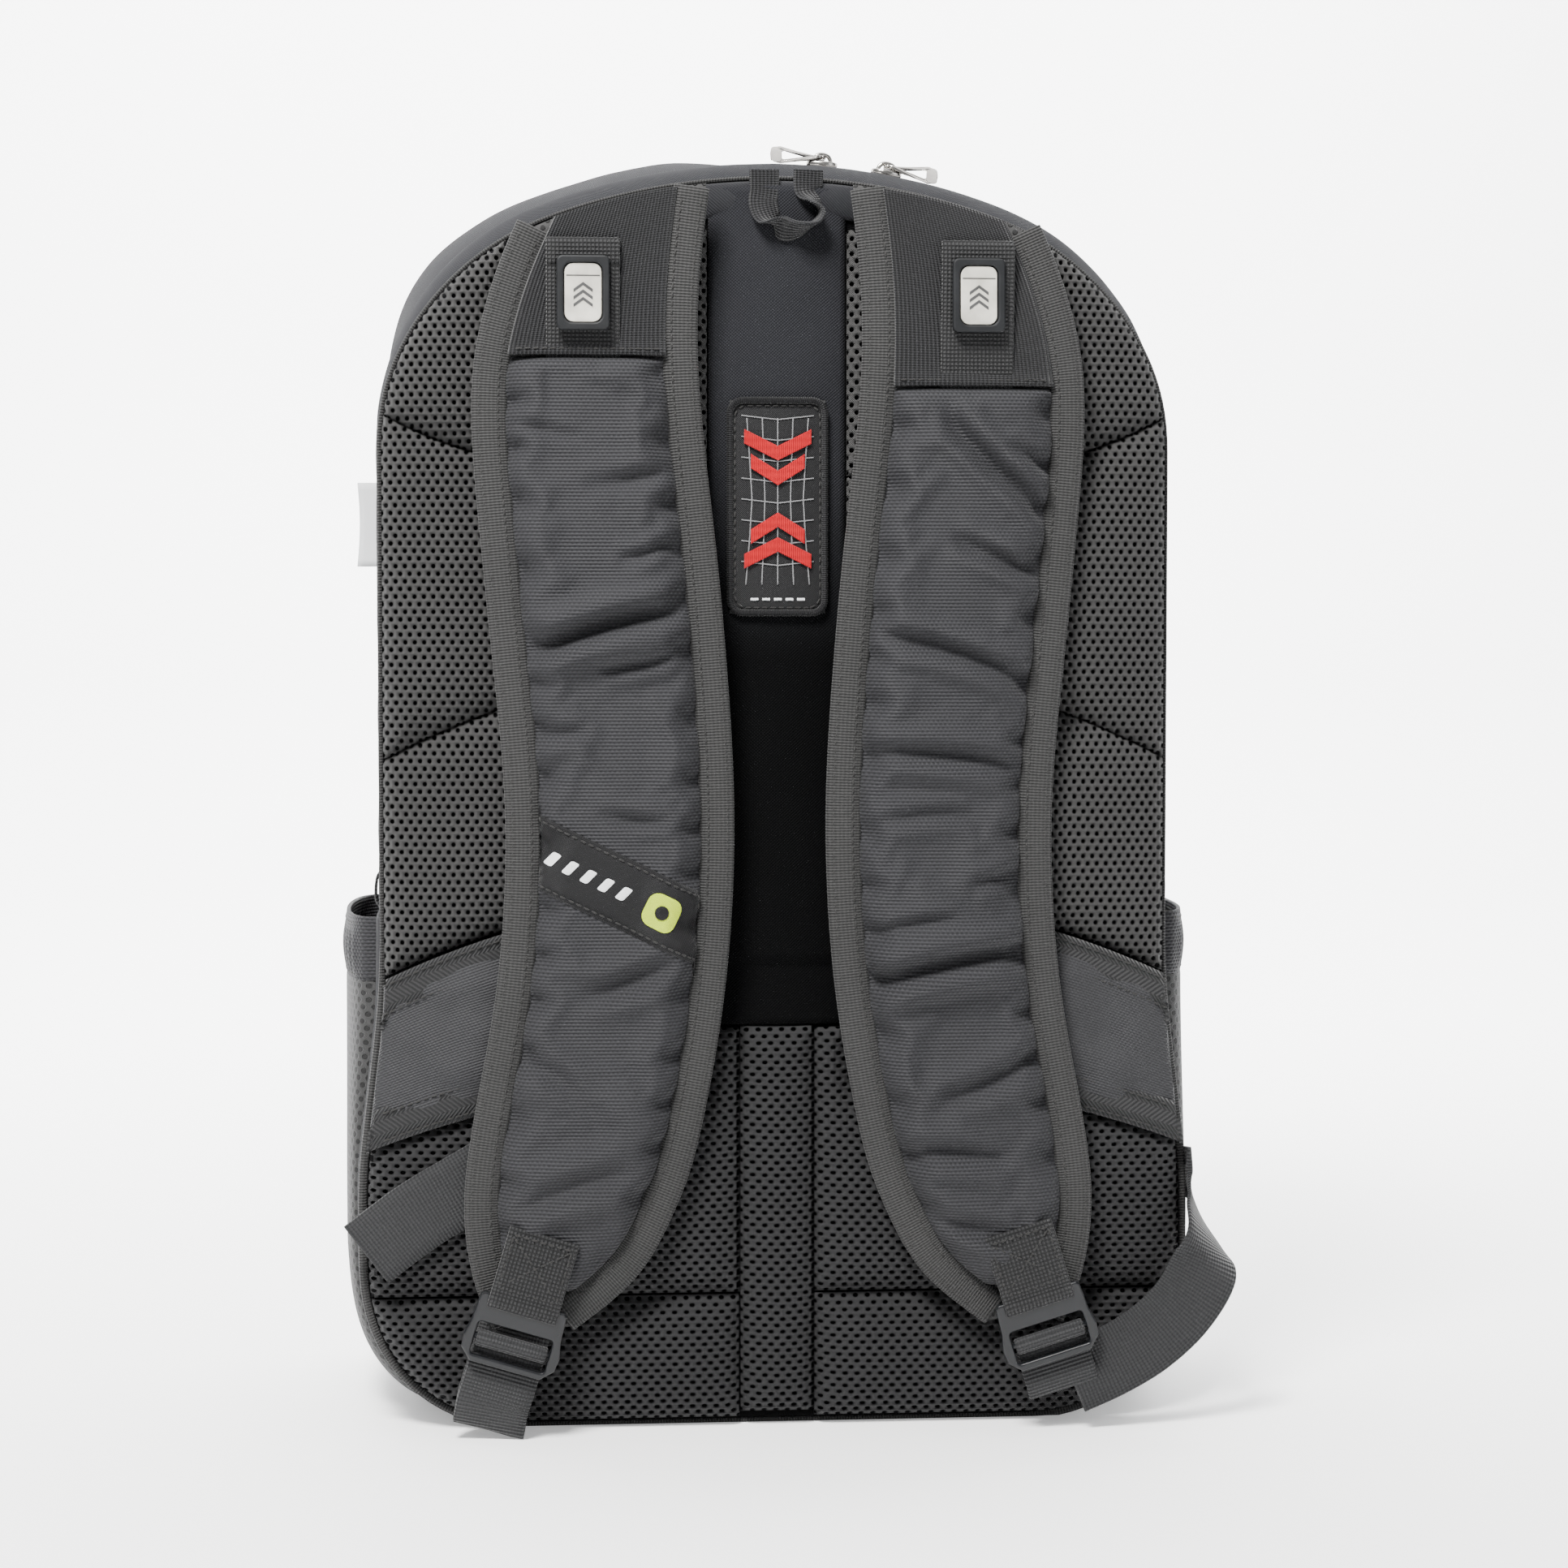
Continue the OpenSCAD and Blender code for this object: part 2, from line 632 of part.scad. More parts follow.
// Webbing that turns over the middle bar, up through one window and down through the other.
module webbing_wrap() color("#2b2d2f") on_bar() translate([0, 0, mid_bar]) difference() {
    union() {
        rotate([0, 90, 0]) cylinder(r = bar_r + 0.1 + webbing_t, h = webbing_w, center = true);
        translate([-webbing_w / 2, bar_r + 0.1, -wrap_tail]) cube([webbing_w, webbing_t, wrap_tail]);
    }
    rotate([0, 90, 0]) cylinder(r = bar_r + 0.1, h = webbing_w + 2, center = true);
}

module strap_label() color("#101012") slab(face_y - cloth_t, face_y) intersection() {
    mirror([1, 0]) strap_area(binding_w);
    translate([-63, 212]) rotate(-26) square([120, 26], center = true);
}

loop_x = 5;
loop_top = strap_top - 3;

// A band that hangs in a U below the top seam.
module loop_area(r) {
    intersection() {
        circle(r);
        translate([-r, -r]) square([2 * r, r]);
    }
    translate([-r, 0]) square([2 * r, loop_drop - loop_w / 2]);
}

module grab_loop() color("#2a2c2e") translate([loop_x, 0, loop_top - loop_drop + loop_w / 2])
    slab(back_y - cloth_t - gap - loop_band, back_y - cloth_t - gap) difference() {
        loop_area(loop_w / 2);
        loop_area(loop_w / 2 - webbing_t);
        translate([-loop_w / 2 + webbing_t, 0]) square([loop_w - 2 * webbing_t, loop_drop]);
    }

// ---------- loose adjuster webbing ----------

function unit(v) = v / norm(v);

// A flat ribbon along stations of [middle point, direction across its width].
module ribbon(stations, w, t) {
    n = len(stations);
    points = [for (i = [0:n - 1])
        let (along = unit(stations[min(i + 1, n - 1)][0] - stations[max(i - 1, 0)][0]),
             rough = unit(stations[i][1]), face = unit(cross(along, rough)), across = cross(face, along))
        for (c = [[1, 1], [1, -1], [-1, -1], [-1, 1]])
            stations[i][0] + across * c.x * w / 2 + face * c.y * t / 2];
    sides = [for (i = [0:n - 2], k = [0:3]) let (a = 4 * i + k, b = 4 * i + (k + 1) % 4)
        each [[a, b, b + 4], [a, b + 4, a + 4]]];
    polyhedron(points, concat([[3, 2, 1], [3, 1, 0]], sides,
                              [[4 * n - 4, 4 * n - 3, 4 * n - 2], [4 * n - 4, 4 * n - 2, 4 * n - 1]]));
}

lay_y = pad_y - 0.5 - webbing_t / 2;     // webbing that lies on the padding
fold_y = lay_y - webbing_t - 0.1;        // webbing folded over it
hang_y = bar_y + buckle_t / 2 + gap + webbing_t / 2;  // webbing that passes behind the buckle's lower bar

// A point under the buckle, at a distance below its hinge bar.
function below_bar(d) = [buckle_x + d * sin(buckle_lean), hang_y, buckle_z - d * cos(buckle_lean)];

wrap_end = wrap_tail - mid_bar;          // where the buckle's own turn of webbing ends
ACROSS = [1, 0, 0.3];

// On the left: from the side seam up behind the strap.
LEFT_UPPER = [[[half_tub - 3, lay_y, 74], [0.5, 0, 0.9]], [[half_tub - 22, lay_y, 86], [0.5, 0, 0.9]],
              [[half_tub - 44, lay_y, 100], [0.5, 0, 0.9]], [[half_tub - 66, lay_y, 114], [0.5, 0, 0.9]]];

// From behind the strap down to the floor, round, and up to the buckle.
LEFT_LOWER = [[[88, fold_y, 112], ACROSS], [[94, fold_y, 74], ACROSS], [[102, fold_y, 42], ACROSS],
              [[110, fold_y - 1, 15], ACROSS], [[113, fold_y - 4, 8], ACROSS], [[113, hang_y + 4, 8], ACROSS],
              [below_bar(41) + [0, 1, 0], ACROSS], [below_bar(34), ACROSS],
              [below_bar(wrap_end + 0.4), ACROSS]];

// On the right: from the side seam out in a loose loop to below the buckle.
RIGHT_LOOP = [[[half_tub + 1.2, back_y + 6, 106], [0, 1, 0]], [[half_tub + 2, back_y + 4, 93], [0, 1, 0]],
              [[half_tub + 5, back_y - 2, 82], [0.25, 0.95, -0.2]],
              [[half_tub + 7, pad_y - 3, 72], [0.6, 0.55, -0.5]],
              [[half_tub + 5, pad_y - 9, 62], [0.77, 0, -0.64]],
              [[half_tub - 4, pad_y - 12, 48], [0.6, 0, -0.8]],
              [[half_tub - 17, pad_y - 13, 36], [0.3, 0, -0.95]],
              [[half_tub - 32, pad_y - 13, 27], [0.4, 0, -0.9]],
              [[half_tub - 48, pad_y - 13, 20], [0.5, 0, -0.86]]];

// The end that rises into the buckle.
RIGHT_RISE = [[below_bar(38), ACROSS], [below_bar(30), ACROSS], [below_bar(wrap_end + 0.4), ACROSS]];

module webbing_left() color("#2d2f31") mirror([1, 0, 0]) {
    ribbon(LEFT_UPPER, webbing_w, webbing_t);
    ribbon(LEFT_LOWER, webbing_w, webbing_t);
}

module webbing_right() color("#2d2f31") {
    ribbon(RIGHT_LOOP, webbing_w, webbing_t);
    ribbon(RIGHT_RISE, webbing_w, webbing_t);
}

back_panel();
back_board();
rim_gusset();
base_panel();
at_left() gusset_lower();  // gusset_lower_left
at_right() gusset_lower();  // gusset_lower_right
front_panel_lower();
yoke_panel();
centre_panel();
channel_patch();
at_left() mesh_pads();  // mesh_pads_left
at_right() mesh_pads();  // mesh_pads_right
lumbar_pads();
wing_panels();
wing_trims();
laptop_sleeve();
zip_rear();
at_left() side_pocket();  // side_pocket_left
at_right() side_pocket();  // side_pocket_right
pocket_hems();
front_pocket();
front_pocket_zip();
zip_tabs();
care_label();
webbing_left();
webbing_right();
gusset_upper();
front_panel_upper();
zip_front();
racket_gusset();
racket_zip();
racket_lid();
slider_left();
slider_right();
racket_slider();
front_slider();
pull_left();
pull_right();
racket_pull();
front_pull();
at_left() strap_base();  // strap_base_left
at_right() strap_base();  // strap_base_right
at_left() strap_cushion(yoke_left_h);  // strap_cushion_left
at_right() strap_cushion(yoke_right_h);  // strap_cushion_right
at_left() strap_yoke(yoke_left_h);  // strap_yoke_left
at_right() strap_yoke(yoke_right_h);  // strap_yoke_right
at_left() load_tab(yoke_left_h);  // load_tab_left
at_right() load_tab(yoke_right_h);  // load_tab_right
at_left() badge_frame();  // badge_frame_left
at_right() badge_frame();  // badge_frame_right
at_left() badge_plate();  // badge_plate_left
at_right() badge_plate();  // badge_plate_right
at_left() anchor_tab();  // anchor_tab_left
at_right() anchor_tab();  // anchor_tab_right
at_left() buckle();  // buckle_left
at_right() buckle();  // buckle_right
at_left() webbing_wrap();  // webbing_wrap_left
at_right() webbing_wrap();  // webbing_wrap_right
strap_label();
grab_loop();
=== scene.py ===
import math
import random

import bmesh
import bpy
import numpy as np
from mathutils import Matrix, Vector
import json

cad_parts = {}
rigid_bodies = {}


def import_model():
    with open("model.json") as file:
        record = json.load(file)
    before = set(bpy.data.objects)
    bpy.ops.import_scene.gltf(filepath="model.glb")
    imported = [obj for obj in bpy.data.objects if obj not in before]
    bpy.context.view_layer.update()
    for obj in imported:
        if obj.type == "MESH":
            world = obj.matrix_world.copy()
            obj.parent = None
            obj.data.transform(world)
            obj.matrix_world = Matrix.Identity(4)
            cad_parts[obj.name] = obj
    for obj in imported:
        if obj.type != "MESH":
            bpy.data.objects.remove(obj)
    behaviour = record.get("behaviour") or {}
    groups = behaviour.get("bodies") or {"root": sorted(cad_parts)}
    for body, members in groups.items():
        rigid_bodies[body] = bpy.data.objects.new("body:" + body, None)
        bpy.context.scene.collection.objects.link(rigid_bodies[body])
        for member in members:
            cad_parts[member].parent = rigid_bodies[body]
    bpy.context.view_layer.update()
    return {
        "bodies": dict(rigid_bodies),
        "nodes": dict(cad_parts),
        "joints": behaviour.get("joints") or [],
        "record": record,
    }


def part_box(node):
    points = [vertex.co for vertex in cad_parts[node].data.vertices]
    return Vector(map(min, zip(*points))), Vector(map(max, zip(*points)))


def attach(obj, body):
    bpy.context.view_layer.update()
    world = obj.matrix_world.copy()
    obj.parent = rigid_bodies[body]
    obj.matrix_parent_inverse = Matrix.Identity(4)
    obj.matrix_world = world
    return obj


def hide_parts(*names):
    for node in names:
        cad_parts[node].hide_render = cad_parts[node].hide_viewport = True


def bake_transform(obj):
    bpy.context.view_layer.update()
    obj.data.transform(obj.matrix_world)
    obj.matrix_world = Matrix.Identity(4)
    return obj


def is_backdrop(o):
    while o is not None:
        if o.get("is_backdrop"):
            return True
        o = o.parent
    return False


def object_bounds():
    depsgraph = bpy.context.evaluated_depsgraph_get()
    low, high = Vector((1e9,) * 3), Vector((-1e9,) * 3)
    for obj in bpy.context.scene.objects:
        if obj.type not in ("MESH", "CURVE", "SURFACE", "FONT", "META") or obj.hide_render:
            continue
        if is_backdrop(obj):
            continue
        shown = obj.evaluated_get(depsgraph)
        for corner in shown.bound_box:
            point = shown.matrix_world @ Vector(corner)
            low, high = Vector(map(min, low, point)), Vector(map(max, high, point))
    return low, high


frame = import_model()
scene = bpy.context.scene

# ---------------------------------------------------------------- sizes, in millimetres


def corners(node):
    """Lowest and highest corner of a CAD node, in millimetres."""
    low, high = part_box(node)
    return np.array(low) * 1000, np.array(high) * 1000


BACK_Y = corners("back_panel")[0][1]
TOP_Z = corners("back_panel")[1][2]
HALF_W = corners("gusset_upper")[1][0]
HALF_TUB = corners("base_panel")[1][0]
PAD_Y = corners("lumbar_pads")[0][1]
FRONT_Y = corners("front_panel_lower")[1][1]
SPLIT_Z = corners("front_panel_lower")[1][2]
BASE_R = corners("base_panel")[1][2]
GAP = 0.3
ZIP_Y = corners("zip_rear")[1][1] + GAP / 2
ZIP_REAR_Y = corners("zip_rear")[0][1]
ZIP_FRONT_Y = corners("zip_front")[1][1]
LUMBAR_Z = corners("lumbar_pads")[1][2]
STRAP_TOP = corners("strap_base_right")[1][2]
STRAP_LOW = corners("strap_base_right")[0][2]
CUSHION_Y = corners("strap_cushion_right")[1][1]
FACE_Y = corners("strap_cushion_right")[0][1]
FLANGE_Y = CUSHION_Y + 3
TOP_R = 260
CORNER_R = 95
BELLY_Z = 100
WAIST_Z = 165
YOKE_IN = 25
YOKE_X = 104
CHANNEL = 27          # half the width of the air channel
BINDING = 13
WEBBING_T = 1.4
YOKE_LOW = {-1: STRAP_TOP - 66, 1: STRAP_TOP - 77}   # lower edge of each strap's ribbed panel

# Inner and outer edge of a strap at shares of its length, from the top seam down.
STRAP = [(0, 27, 92), (0.09, 31.5, 109), (0.19, 31, 117), (0.36, 23, 111.5), (0.54, 18, 104.5),
         (0.69, 21, 107.5), (0.825, 31, 118), (0.895, 41, 121), (0.955, 56, 117.5), (1, 80, 110)]

# ---------------------------------------------------------------- materials


class Nodes:
    """A material's node tree, written as arithmetic on the surface's own coordinates in millimetres."""

    def __init__(self, name, colour, rough, metallic=0.0, sheen=0.0, specular=0.5, coat=0.0):
        self.material = bpy.data.materials.new(name)
        self.material.use_nodes = True
        self.tree = self.material.node_tree
        self.shader = self.tree.nodes["Principled BSDF"]
        self.shader.inputs["Base Color"].default_value = (*colour, 1)
        self.shader.inputs["Roughness"].default_value = rough
        self.shader.inputs["Metallic"].default_value = metallic
        self.shader.inputs["Sheen Weight"].default_value = sheen
        self.shader.inputs["Sheen Roughness"].default_value = 0.45
        self.shader.inputs["Specular IOR Level"].default_value = specular
        self.shader.inputs["Coat Weight"].default_value = coat
        self.colour = colour
        scale = self.add("ShaderNodeVectorMath", operation="SCALE")
        scale.inputs["Scale"].default_value = 1000
        self.tree.links.new(self.add("ShaderNodeTexCoord").outputs["UV"], scale.inputs[0])
        self.flat = scale.outputs[0]
        split = self.add("ShaderNodeSeparateXYZ")
        self.tree.links.new(self.flat, split.inputs[0])
        self.u, self.v = split.outputs[0], split.outputs[1]

    def add(self, kind, **settings):
        node = self.tree.nodes.new(kind)
        for key, value in settings.items():
            setattr(node, key, value)
        return node

    def put(self, value, socket):
        if isinstance(value, (int, float, tuple)):
            socket.default_value = value
        else:
            self.tree.links.new(value, socket)

    def calc(self, operation, *values):
        node = self.add("ShaderNodeMath", operation=operation)
        for value, socket in zip(values, node.inputs):
            self.put(value, socket)
        return node.outputs[0]

    def sine(self, value, pitch, shift=0.0):
        turned = self.calc("MULTIPLY_ADD", value, 2 * math.pi / pitch, shift)
        return self.calc("SINE", turned)

    def noise(self, size, detail=3.0, rough=0.55):
        """Noise with blotches of about that size in millimetres, from the object's own position."""
        node = self.add("ShaderNodeTexNoise")
        self.tree.links.new(self.add("ShaderNodeTexCoord").outputs["Object"], node.inputs["Vector"])
        node.inputs["Scale"].default_value = 1000 / size
        node.inputs["Detail"].default_value = detail
        node.inputs["Roughness"].default_value = rough
        return node.outputs["Fac"]

    def shade(self, factor, low, high, socket="Base Color", darkest=0.0, lightest=1.0):
        """Colours the surface from low to high as factor goes from darkest to lightest."""
        ramp = self.add("ShaderNodeMapRange")
        self.put(factor, ramp.inputs["Value"])
        ramp.inputs["From Min"].default_value = darkest
        ramp.inputs["From Max"].default_value = lightest
        mix = self.add("ShaderNodeMix", data_type="RGBA")
        self.put(ramp.outputs[0], mix.inputs[0])
        self.put((*low, 1), mix.inputs[6])
        self.put((*high, 1), mix.inputs[7])
        self.tree.links.new(mix.outputs[2], self.shader.inputs[socket])
        return mix.outputs[2]

    def rough_by(self, factor, low, high):
        ramp = self.add("ShaderNodeMapRange")
        self.put(factor, ramp.inputs["Value"])
        ramp.inputs["To Min"].default_value = low
        ramp.inputs["To Max"].default_value = high
        self.tree.links.new(ramp.outputs[0], self.shader.inputs["Roughness"])

    def bump(self, height, distance_mm, strength=1.0):
        node = self.add("ShaderNodeBump")
        self.put(height, node.inputs["Height"])
        node.inputs["Distance"].default_value = distance_mm / 1000
        node.inputs["Strength"].default_value = strength
        self.tree.links.new(node.outputs[0], self.shader.inputs["Normal"])


def scaled(colour, factor):
    """A colour made lighter or darker."""
    return tuple(c * factor for c in colour)


def woven(name, colour, height, depth, rough=0.62, sheen=0.08, contrast=0.35, blotch=0.18, specular=0.14,
          fade=None):
    """A cloth: height(nodes) gives its thread relief from about -1 to 1.

    fade paints shade on it: its colour darkens between two lengths in V.
    """
    n = Nodes(name, colour, rough, sheen=sheen, specular=specular)
    relief = height(n)
    fuzz = n.noise(0.5, 2.0)
    blotches = n.noise(38, 3.0)
    tone = n.calc("MULTIPLY_ADD", relief, contrast, n.calc("MULTIPLY_ADD", blotches, blotch * 2, 1 - blotch))
    tone = n.calc("MULTIPLY_ADD", fuzz, 0.12, tone)
    # Painted shade: with fade, the tone is cut down between two lengths in V and the dark end of the colour
    # range drops, standing in for shadow.
    if fade:
        ramp = n.add("ShaderNodeMapRange", interpolation_type="SMOOTHSTEP")
        n.put(n.v, ramp.inputs["Value"])
        ramp.inputs["From Min"].default_value, ramp.inputs["From Max"].default_value = fade
        tone = n.calc("MULTIPLY", tone, ramp.outputs[0])
    n.shade(tone, scaled(colour, 0.06 if fade else 0.3), scaled(colour, 1.8),
            darkest=0.05 if fade else 0.2, lightest=2.0)
    n.rough_by(blotches, rough - 0.07, rough + 0.1)
    n.bump(n.calc("MULTIPLY_ADD", fuzz, 0.35, relief), depth, 0.8)
    return n.material


def plain_weave(pitch, across=None):
    """Threads over and under at one pitch each way."""
    return lambda n: n.calc("MULTIPLY", n.sine(n.u, pitch), n.sine(n.v, across or pitch))


def oxford(pitch):
    """Threads across in small ribs, broken by the thinner lengthwise threads."""
    return lambda n: n.calc("ADD", n.calc("MULTIPLY", n.sine(n.v, pitch), 0.65),
                            n.calc("MULTIPLY",
                                   n.calc("MULTIPLY", n.sine(n.u, pitch * 1.3), n.sine(n.v, pitch * 2)),
                                   0.45))


def ribbed(pitch, thread=0.9):
    """Ribs across a tape, with fine threads along it."""
    return lambda n: n.calc("ADD", n.calc("MULTIPLY", n.sine(n.v, pitch), 0.8),
                            n.calc("MULTIPLY", n.sine(n.u, thread), 0.3))


def lengthwise(pitch, thread=0.8):
    """Ribs along a webbing, with fine threads across it."""
    return lambda n: n.calc("ADD", n.calc("MULTIPLY", n.sine(n.u, pitch), 0.8),
                            n.calc("MULTIPLY", n.sine(n.v, thread), 0.3))


def twill(pitch):
    """Slanted ribs."""
    return lambda n: n.calc("ADD", n.calc("MULTIPLY", n.sine(n.calc("ADD", n.u, n.v), pitch), 0.6),
                            n.calc("MULTIPLY", n.sine(n.calc("SUBTRACT", n.u, n.v), pitch * 0.5), 0.2))


def herringbone(pitch, width):
    """Slanted ribs that turn at every width of tape."""
    def height(n):
        fold = n.calc("PINGPONG", n.u, width)
        return n.sine(n.calc("ADD", n.calc("MULTIPLY", fold, 1.0), n.v), pitch)
    return height


def grid_weave(pitch):
    """Coarse basket weave of square knots."""
    def height(n):
        a = n.calc("ABSOLUTE", n.sine(n.u, pitch * 2))
        b = n.calc("ABSOLUTE", n.sine(n.v, pitch * 2))
        return n.calc("MULTIPLY_ADD", n.calc("MULTIPLY", a, b), 2.0, -1.0)
    return height


# Air mesh: pitch of the holes along a row, pitch of the rows, half the width and half the height of a hole.
UPPER_MESH = (3.6, 2.9, 0.98, 1.12)
LOWER_MESH = (4.6, 2.45, 1.25, 0.92)


def mesh_relief(n, pitch_u, pitch_v, half_u, half_v):
    """1 in the holes of a staggered mesh, 0 on its threads."""
    row = n.calc("FLOOR", n.calc("DIVIDE", n.v, pitch_v))
    v = n.calc("SUBTRACT", n.calc("SUBTRACT", n.calc("DIVIDE", n.v, pitch_v), row), 0.5)
    shift = n.calc("MULTIPLY", n.calc("FLOORED_MODULO", row, 2.0), 0.5)
    u = n.calc("SUBTRACT", n.calc("FRACT", n.calc("ADD", n.calc("DIVIDE", n.u, pitch_u), shift)), 0.5)
    a = n.calc("POWER", n.calc("ABSOLUTE", n.calc("MULTIPLY", u, pitch_u / half_u)), 2.0)
    b = n.calc("POWER", n.calc("ABSOLUTE", n.calc("MULTIPLY", v, pitch_v / half_v)), 2.0)
    ramp = n.add("ShaderNodeMapRange", interpolation_type="SMOOTHSTEP")
    n.put(n.calc("ADD", a, b), ramp.inputs["Value"])
    ramp.inputs["From Min"].default_value = 1.25
    ramp.inputs["From Max"].default_value = 0.7
    return ramp.outputs[0]


def air_mesh(name, colour, pitch_u=3.6, pitch_v=2.9, half_u=0.98, half_v=1.12):
    """Knitted mesh whose small holes are painted and sunk."""
    n = Nodes(name, colour, 0.65, sheen=0.08, specular=0.3)
    holes = mesh_relief(n, pitch_u, pitch_v, half_u, half_v)
    knit = n.calc("MULTIPLY", n.sine(n.u, 0.7), n.sine(n.v, 0.55))
    n.shade(n.calc("MULTIPLY_ADD", knit, -0.12,
                   n.calc("MULTIPLY_ADD", n.noise(30), 0.25, n.calc("MULTIPLY", holes, 0.9))),
            scaled(colour, 1.35), scaled(colour, 0.03))
    n.bump(n.calc("MULTIPLY_ADD", knit, 0.07, n.calc("MULTIPLY", holes, -1.0)), 1.2, 0.9)
    return n.material


# Painted shade: the channel cloth's colour is darkened below the patch, where it lies in the straps' shade;
# the limits are lengths up from its foot.
PAINTED_SHADE_LOW, PAINTED_SHADE_HIGH = 128, 232
BLACK = (0.0156, 0.0159, 0.0177)
CLOTHS = {
    "face": woven("nylon_oxford", (0.0177, 0.0177, 0.0195), oxford(1.35), 0.34, rough=0.62, sheen=0.06,
                  contrast=0.75),
    "panel": woven("nylon_panel", scaled(BLACK, 1.25), plain_weave(1.1, 1.2), 0.2, rough=0.72, sheen=0.02,
                   contrast=0.4, specular=0.05),
    # The channel cloth carries painted shade below the patch.
    "channel": woven("nylon_channel", (0.0148, 0.0151, 0.0172), plain_weave(1.3, 1.2), 0.2, rough=0.6,
                     sheen=0.02, contrast=0.45,
                     specular=0.03, fade=(PAINTED_SHADE_LOW, PAINTED_SHADE_HIGH)),
    "twill": woven("nylon_twill", (0.0151, 0.0153, 0.0172), twill(1.3), 0.2, rough=0.7, sheen=0.02,
                   contrast=0.35, specular=0.08),
    "wing": woven("nylon_wing", (0.0225, 0.0225, 0.0242), oxford(1.1), 0.25, rough=0.55, contrast=0.5),
    "lining": woven("lining", (0.026, 0.026, 0.0281), plain_weave(0.7), 0.1, rough=0.7, contrast=0.2),
    "binding": woven("binding_tape", (0.0262, 0.026, 0.0258), ribbed(1.1, 1.6), 0.4, rough=0.72,
                     sheen=0.08, contrast=0.65),
    "herringbone": woven("herringbone_tape", (0.0187, 0.0187, 0.0192), herringbone(1.9, 5.2), 0.35,
                         rough=0.7, contrast=0.45),
    "ribs": woven("ribbed_webbing", (0.0118, 0.0119, 0.0128), lengthwise(1.45, 0.9), 0.7, rough=0.62,
                  contrast=0.8),
    "webbing": woven("webbing_fine", (0.0187, 0.019, 0.0198), ribbed(1.45, 1.25), 0.4, rough=0.55,
                     sheen=0.08, contrast=0.42),
    "basket": woven("webbing_basket", (0.0165, 0.0166, 0.0172), grid_weave(1.5), 0.6, rough=0.6,
                    contrast=0.75),
    "tape": woven("zip_tape", (0.0104, 0.0104, 0.0114), herringbone(1.2, 3.0), 0.15, rough=0.75,
                  contrast=0.3),
    "label": woven("label_black", (0.0052, 0.0052, 0.0057), plain_weave(0.8), 0.12, rough=0.5, contrast=0.3),
    "care": woven("care_label_cloth", (0.55, 0.56, 0.57), plain_weave(0.6), 0.05, rough=0.6, contrast=0.08),
    "thread": woven("stitch_thread", (0.0234, 0.0229, 0.0224), twill(0.5), 0.1, rough=0.55, contrast=0.3),
    "white_thread": woven("white_thread", (0.72, 0.73, 0.74), twill(0.6), 0.15, rough=0.5, contrast=0.12),
    "grid_thread": woven("grid_thread", (0.17, 0.17, 0.175), twill(0.6), 0.15, rough=0.5, contrast=0.12),
    "lime_thread": woven("lime_thread", (0.42, 0.55, 0.02), twill(0.7), 0.2, rough=0.5, contrast=0.15),
    "red_thread": woven("red_thread", (0.34, 0.006, 0.010), lengthwise(0.8, 3.0), 0.25, rough=0.45,
                        contrast=0.25),
    "black_thread": woven("black_thread", (0.0062, 0.0062, 0.0068), ribbed(0.8, 2.0), 0.3, rough=0.5,
                          contrast=0.4),
}
CLOTHS["mesh"] = air_mesh("air_mesh", (0.02, 0.0197, 0.0195))
CLOTHS["foam"] = woven("spacer_foam", (0.0035, 0.0035, 0.004), plain_weave(1.2), 0.1, rough=0.9,
                       sheen=0.0, specular=0.1)
CLOTHS["pocket_mesh"] = air_mesh("pocket_mesh", (0.02, 0.02, 0.02), 3.4, 2.8, 0.9, 1.1)
CLOTHS["yarn"] = woven("mesh_yarn", (0.033, 0.0327, 0.0322), plain_weave(0.8, 0.7), 0.25, rough=0.68,
                       sheen=0.05, contrast=0.5)
# Painted shade: a darker copy of the mesh yarn for the lower pads, standing in for the shade below the
# straps.
CLOTHS["yarn_painted_shade"] = woven("mesh_yarn_painted_shade", (0.0185, 0.0186, 0.0192), plain_weave(0.8, 0.7), 0.25,
                           rough=0.68, sheen=0.04, contrast=0.5)


def moulded(name, colour, rough, metallic=0.0, grain=0.03, specular=0.5, size=0.4):
    n = Nodes(name, colour, rough, metallic=metallic, specular=specular)
    fine = n.noise(size, 3.0)
    wear = n.noise(9, 4.0)
    n.shade(wear, scaled(colour, 0.8), scaled(colour, 1.2), darkest=0.3, lightest=0.7)
    n.rough_by(wear, max(rough - 0.08, 0.05), rough + 0.1)
    n.bump(fine, grain, 0.5)
    return n.material


SOLIDS = {
    "plastic": moulded("buckle_plastic", (0.0065, 0.007, 0.008), 0.3, specular=0.3),
    "rubber": moulded("rubber_trim", (0.0065, 0.007, 0.0078), 0.5, grain=0.05, specular=0.2),
    "coil": moulded("coil_plastic", (0.02, 0.0205, 0.022), 0.3, grain=0.01),
    "nickel": moulded("nickel", (0.36, 0.345, 0.325), 0.2, metallic=1.0, grain=0.006),
    "badge": moulded("badge_plate", (0.52, 0.50, 0.44), 0.42, metallic=0.35, grain=0.012),
    "engraved": moulded("engraving", (0.03, 0.03, 0.03), 0.5),
    "sheet": moulded("frame_sheet", (0.5, 0.5, 0.48), 0.5),
}

# ---------------------------------------------------------------- mesh helpers


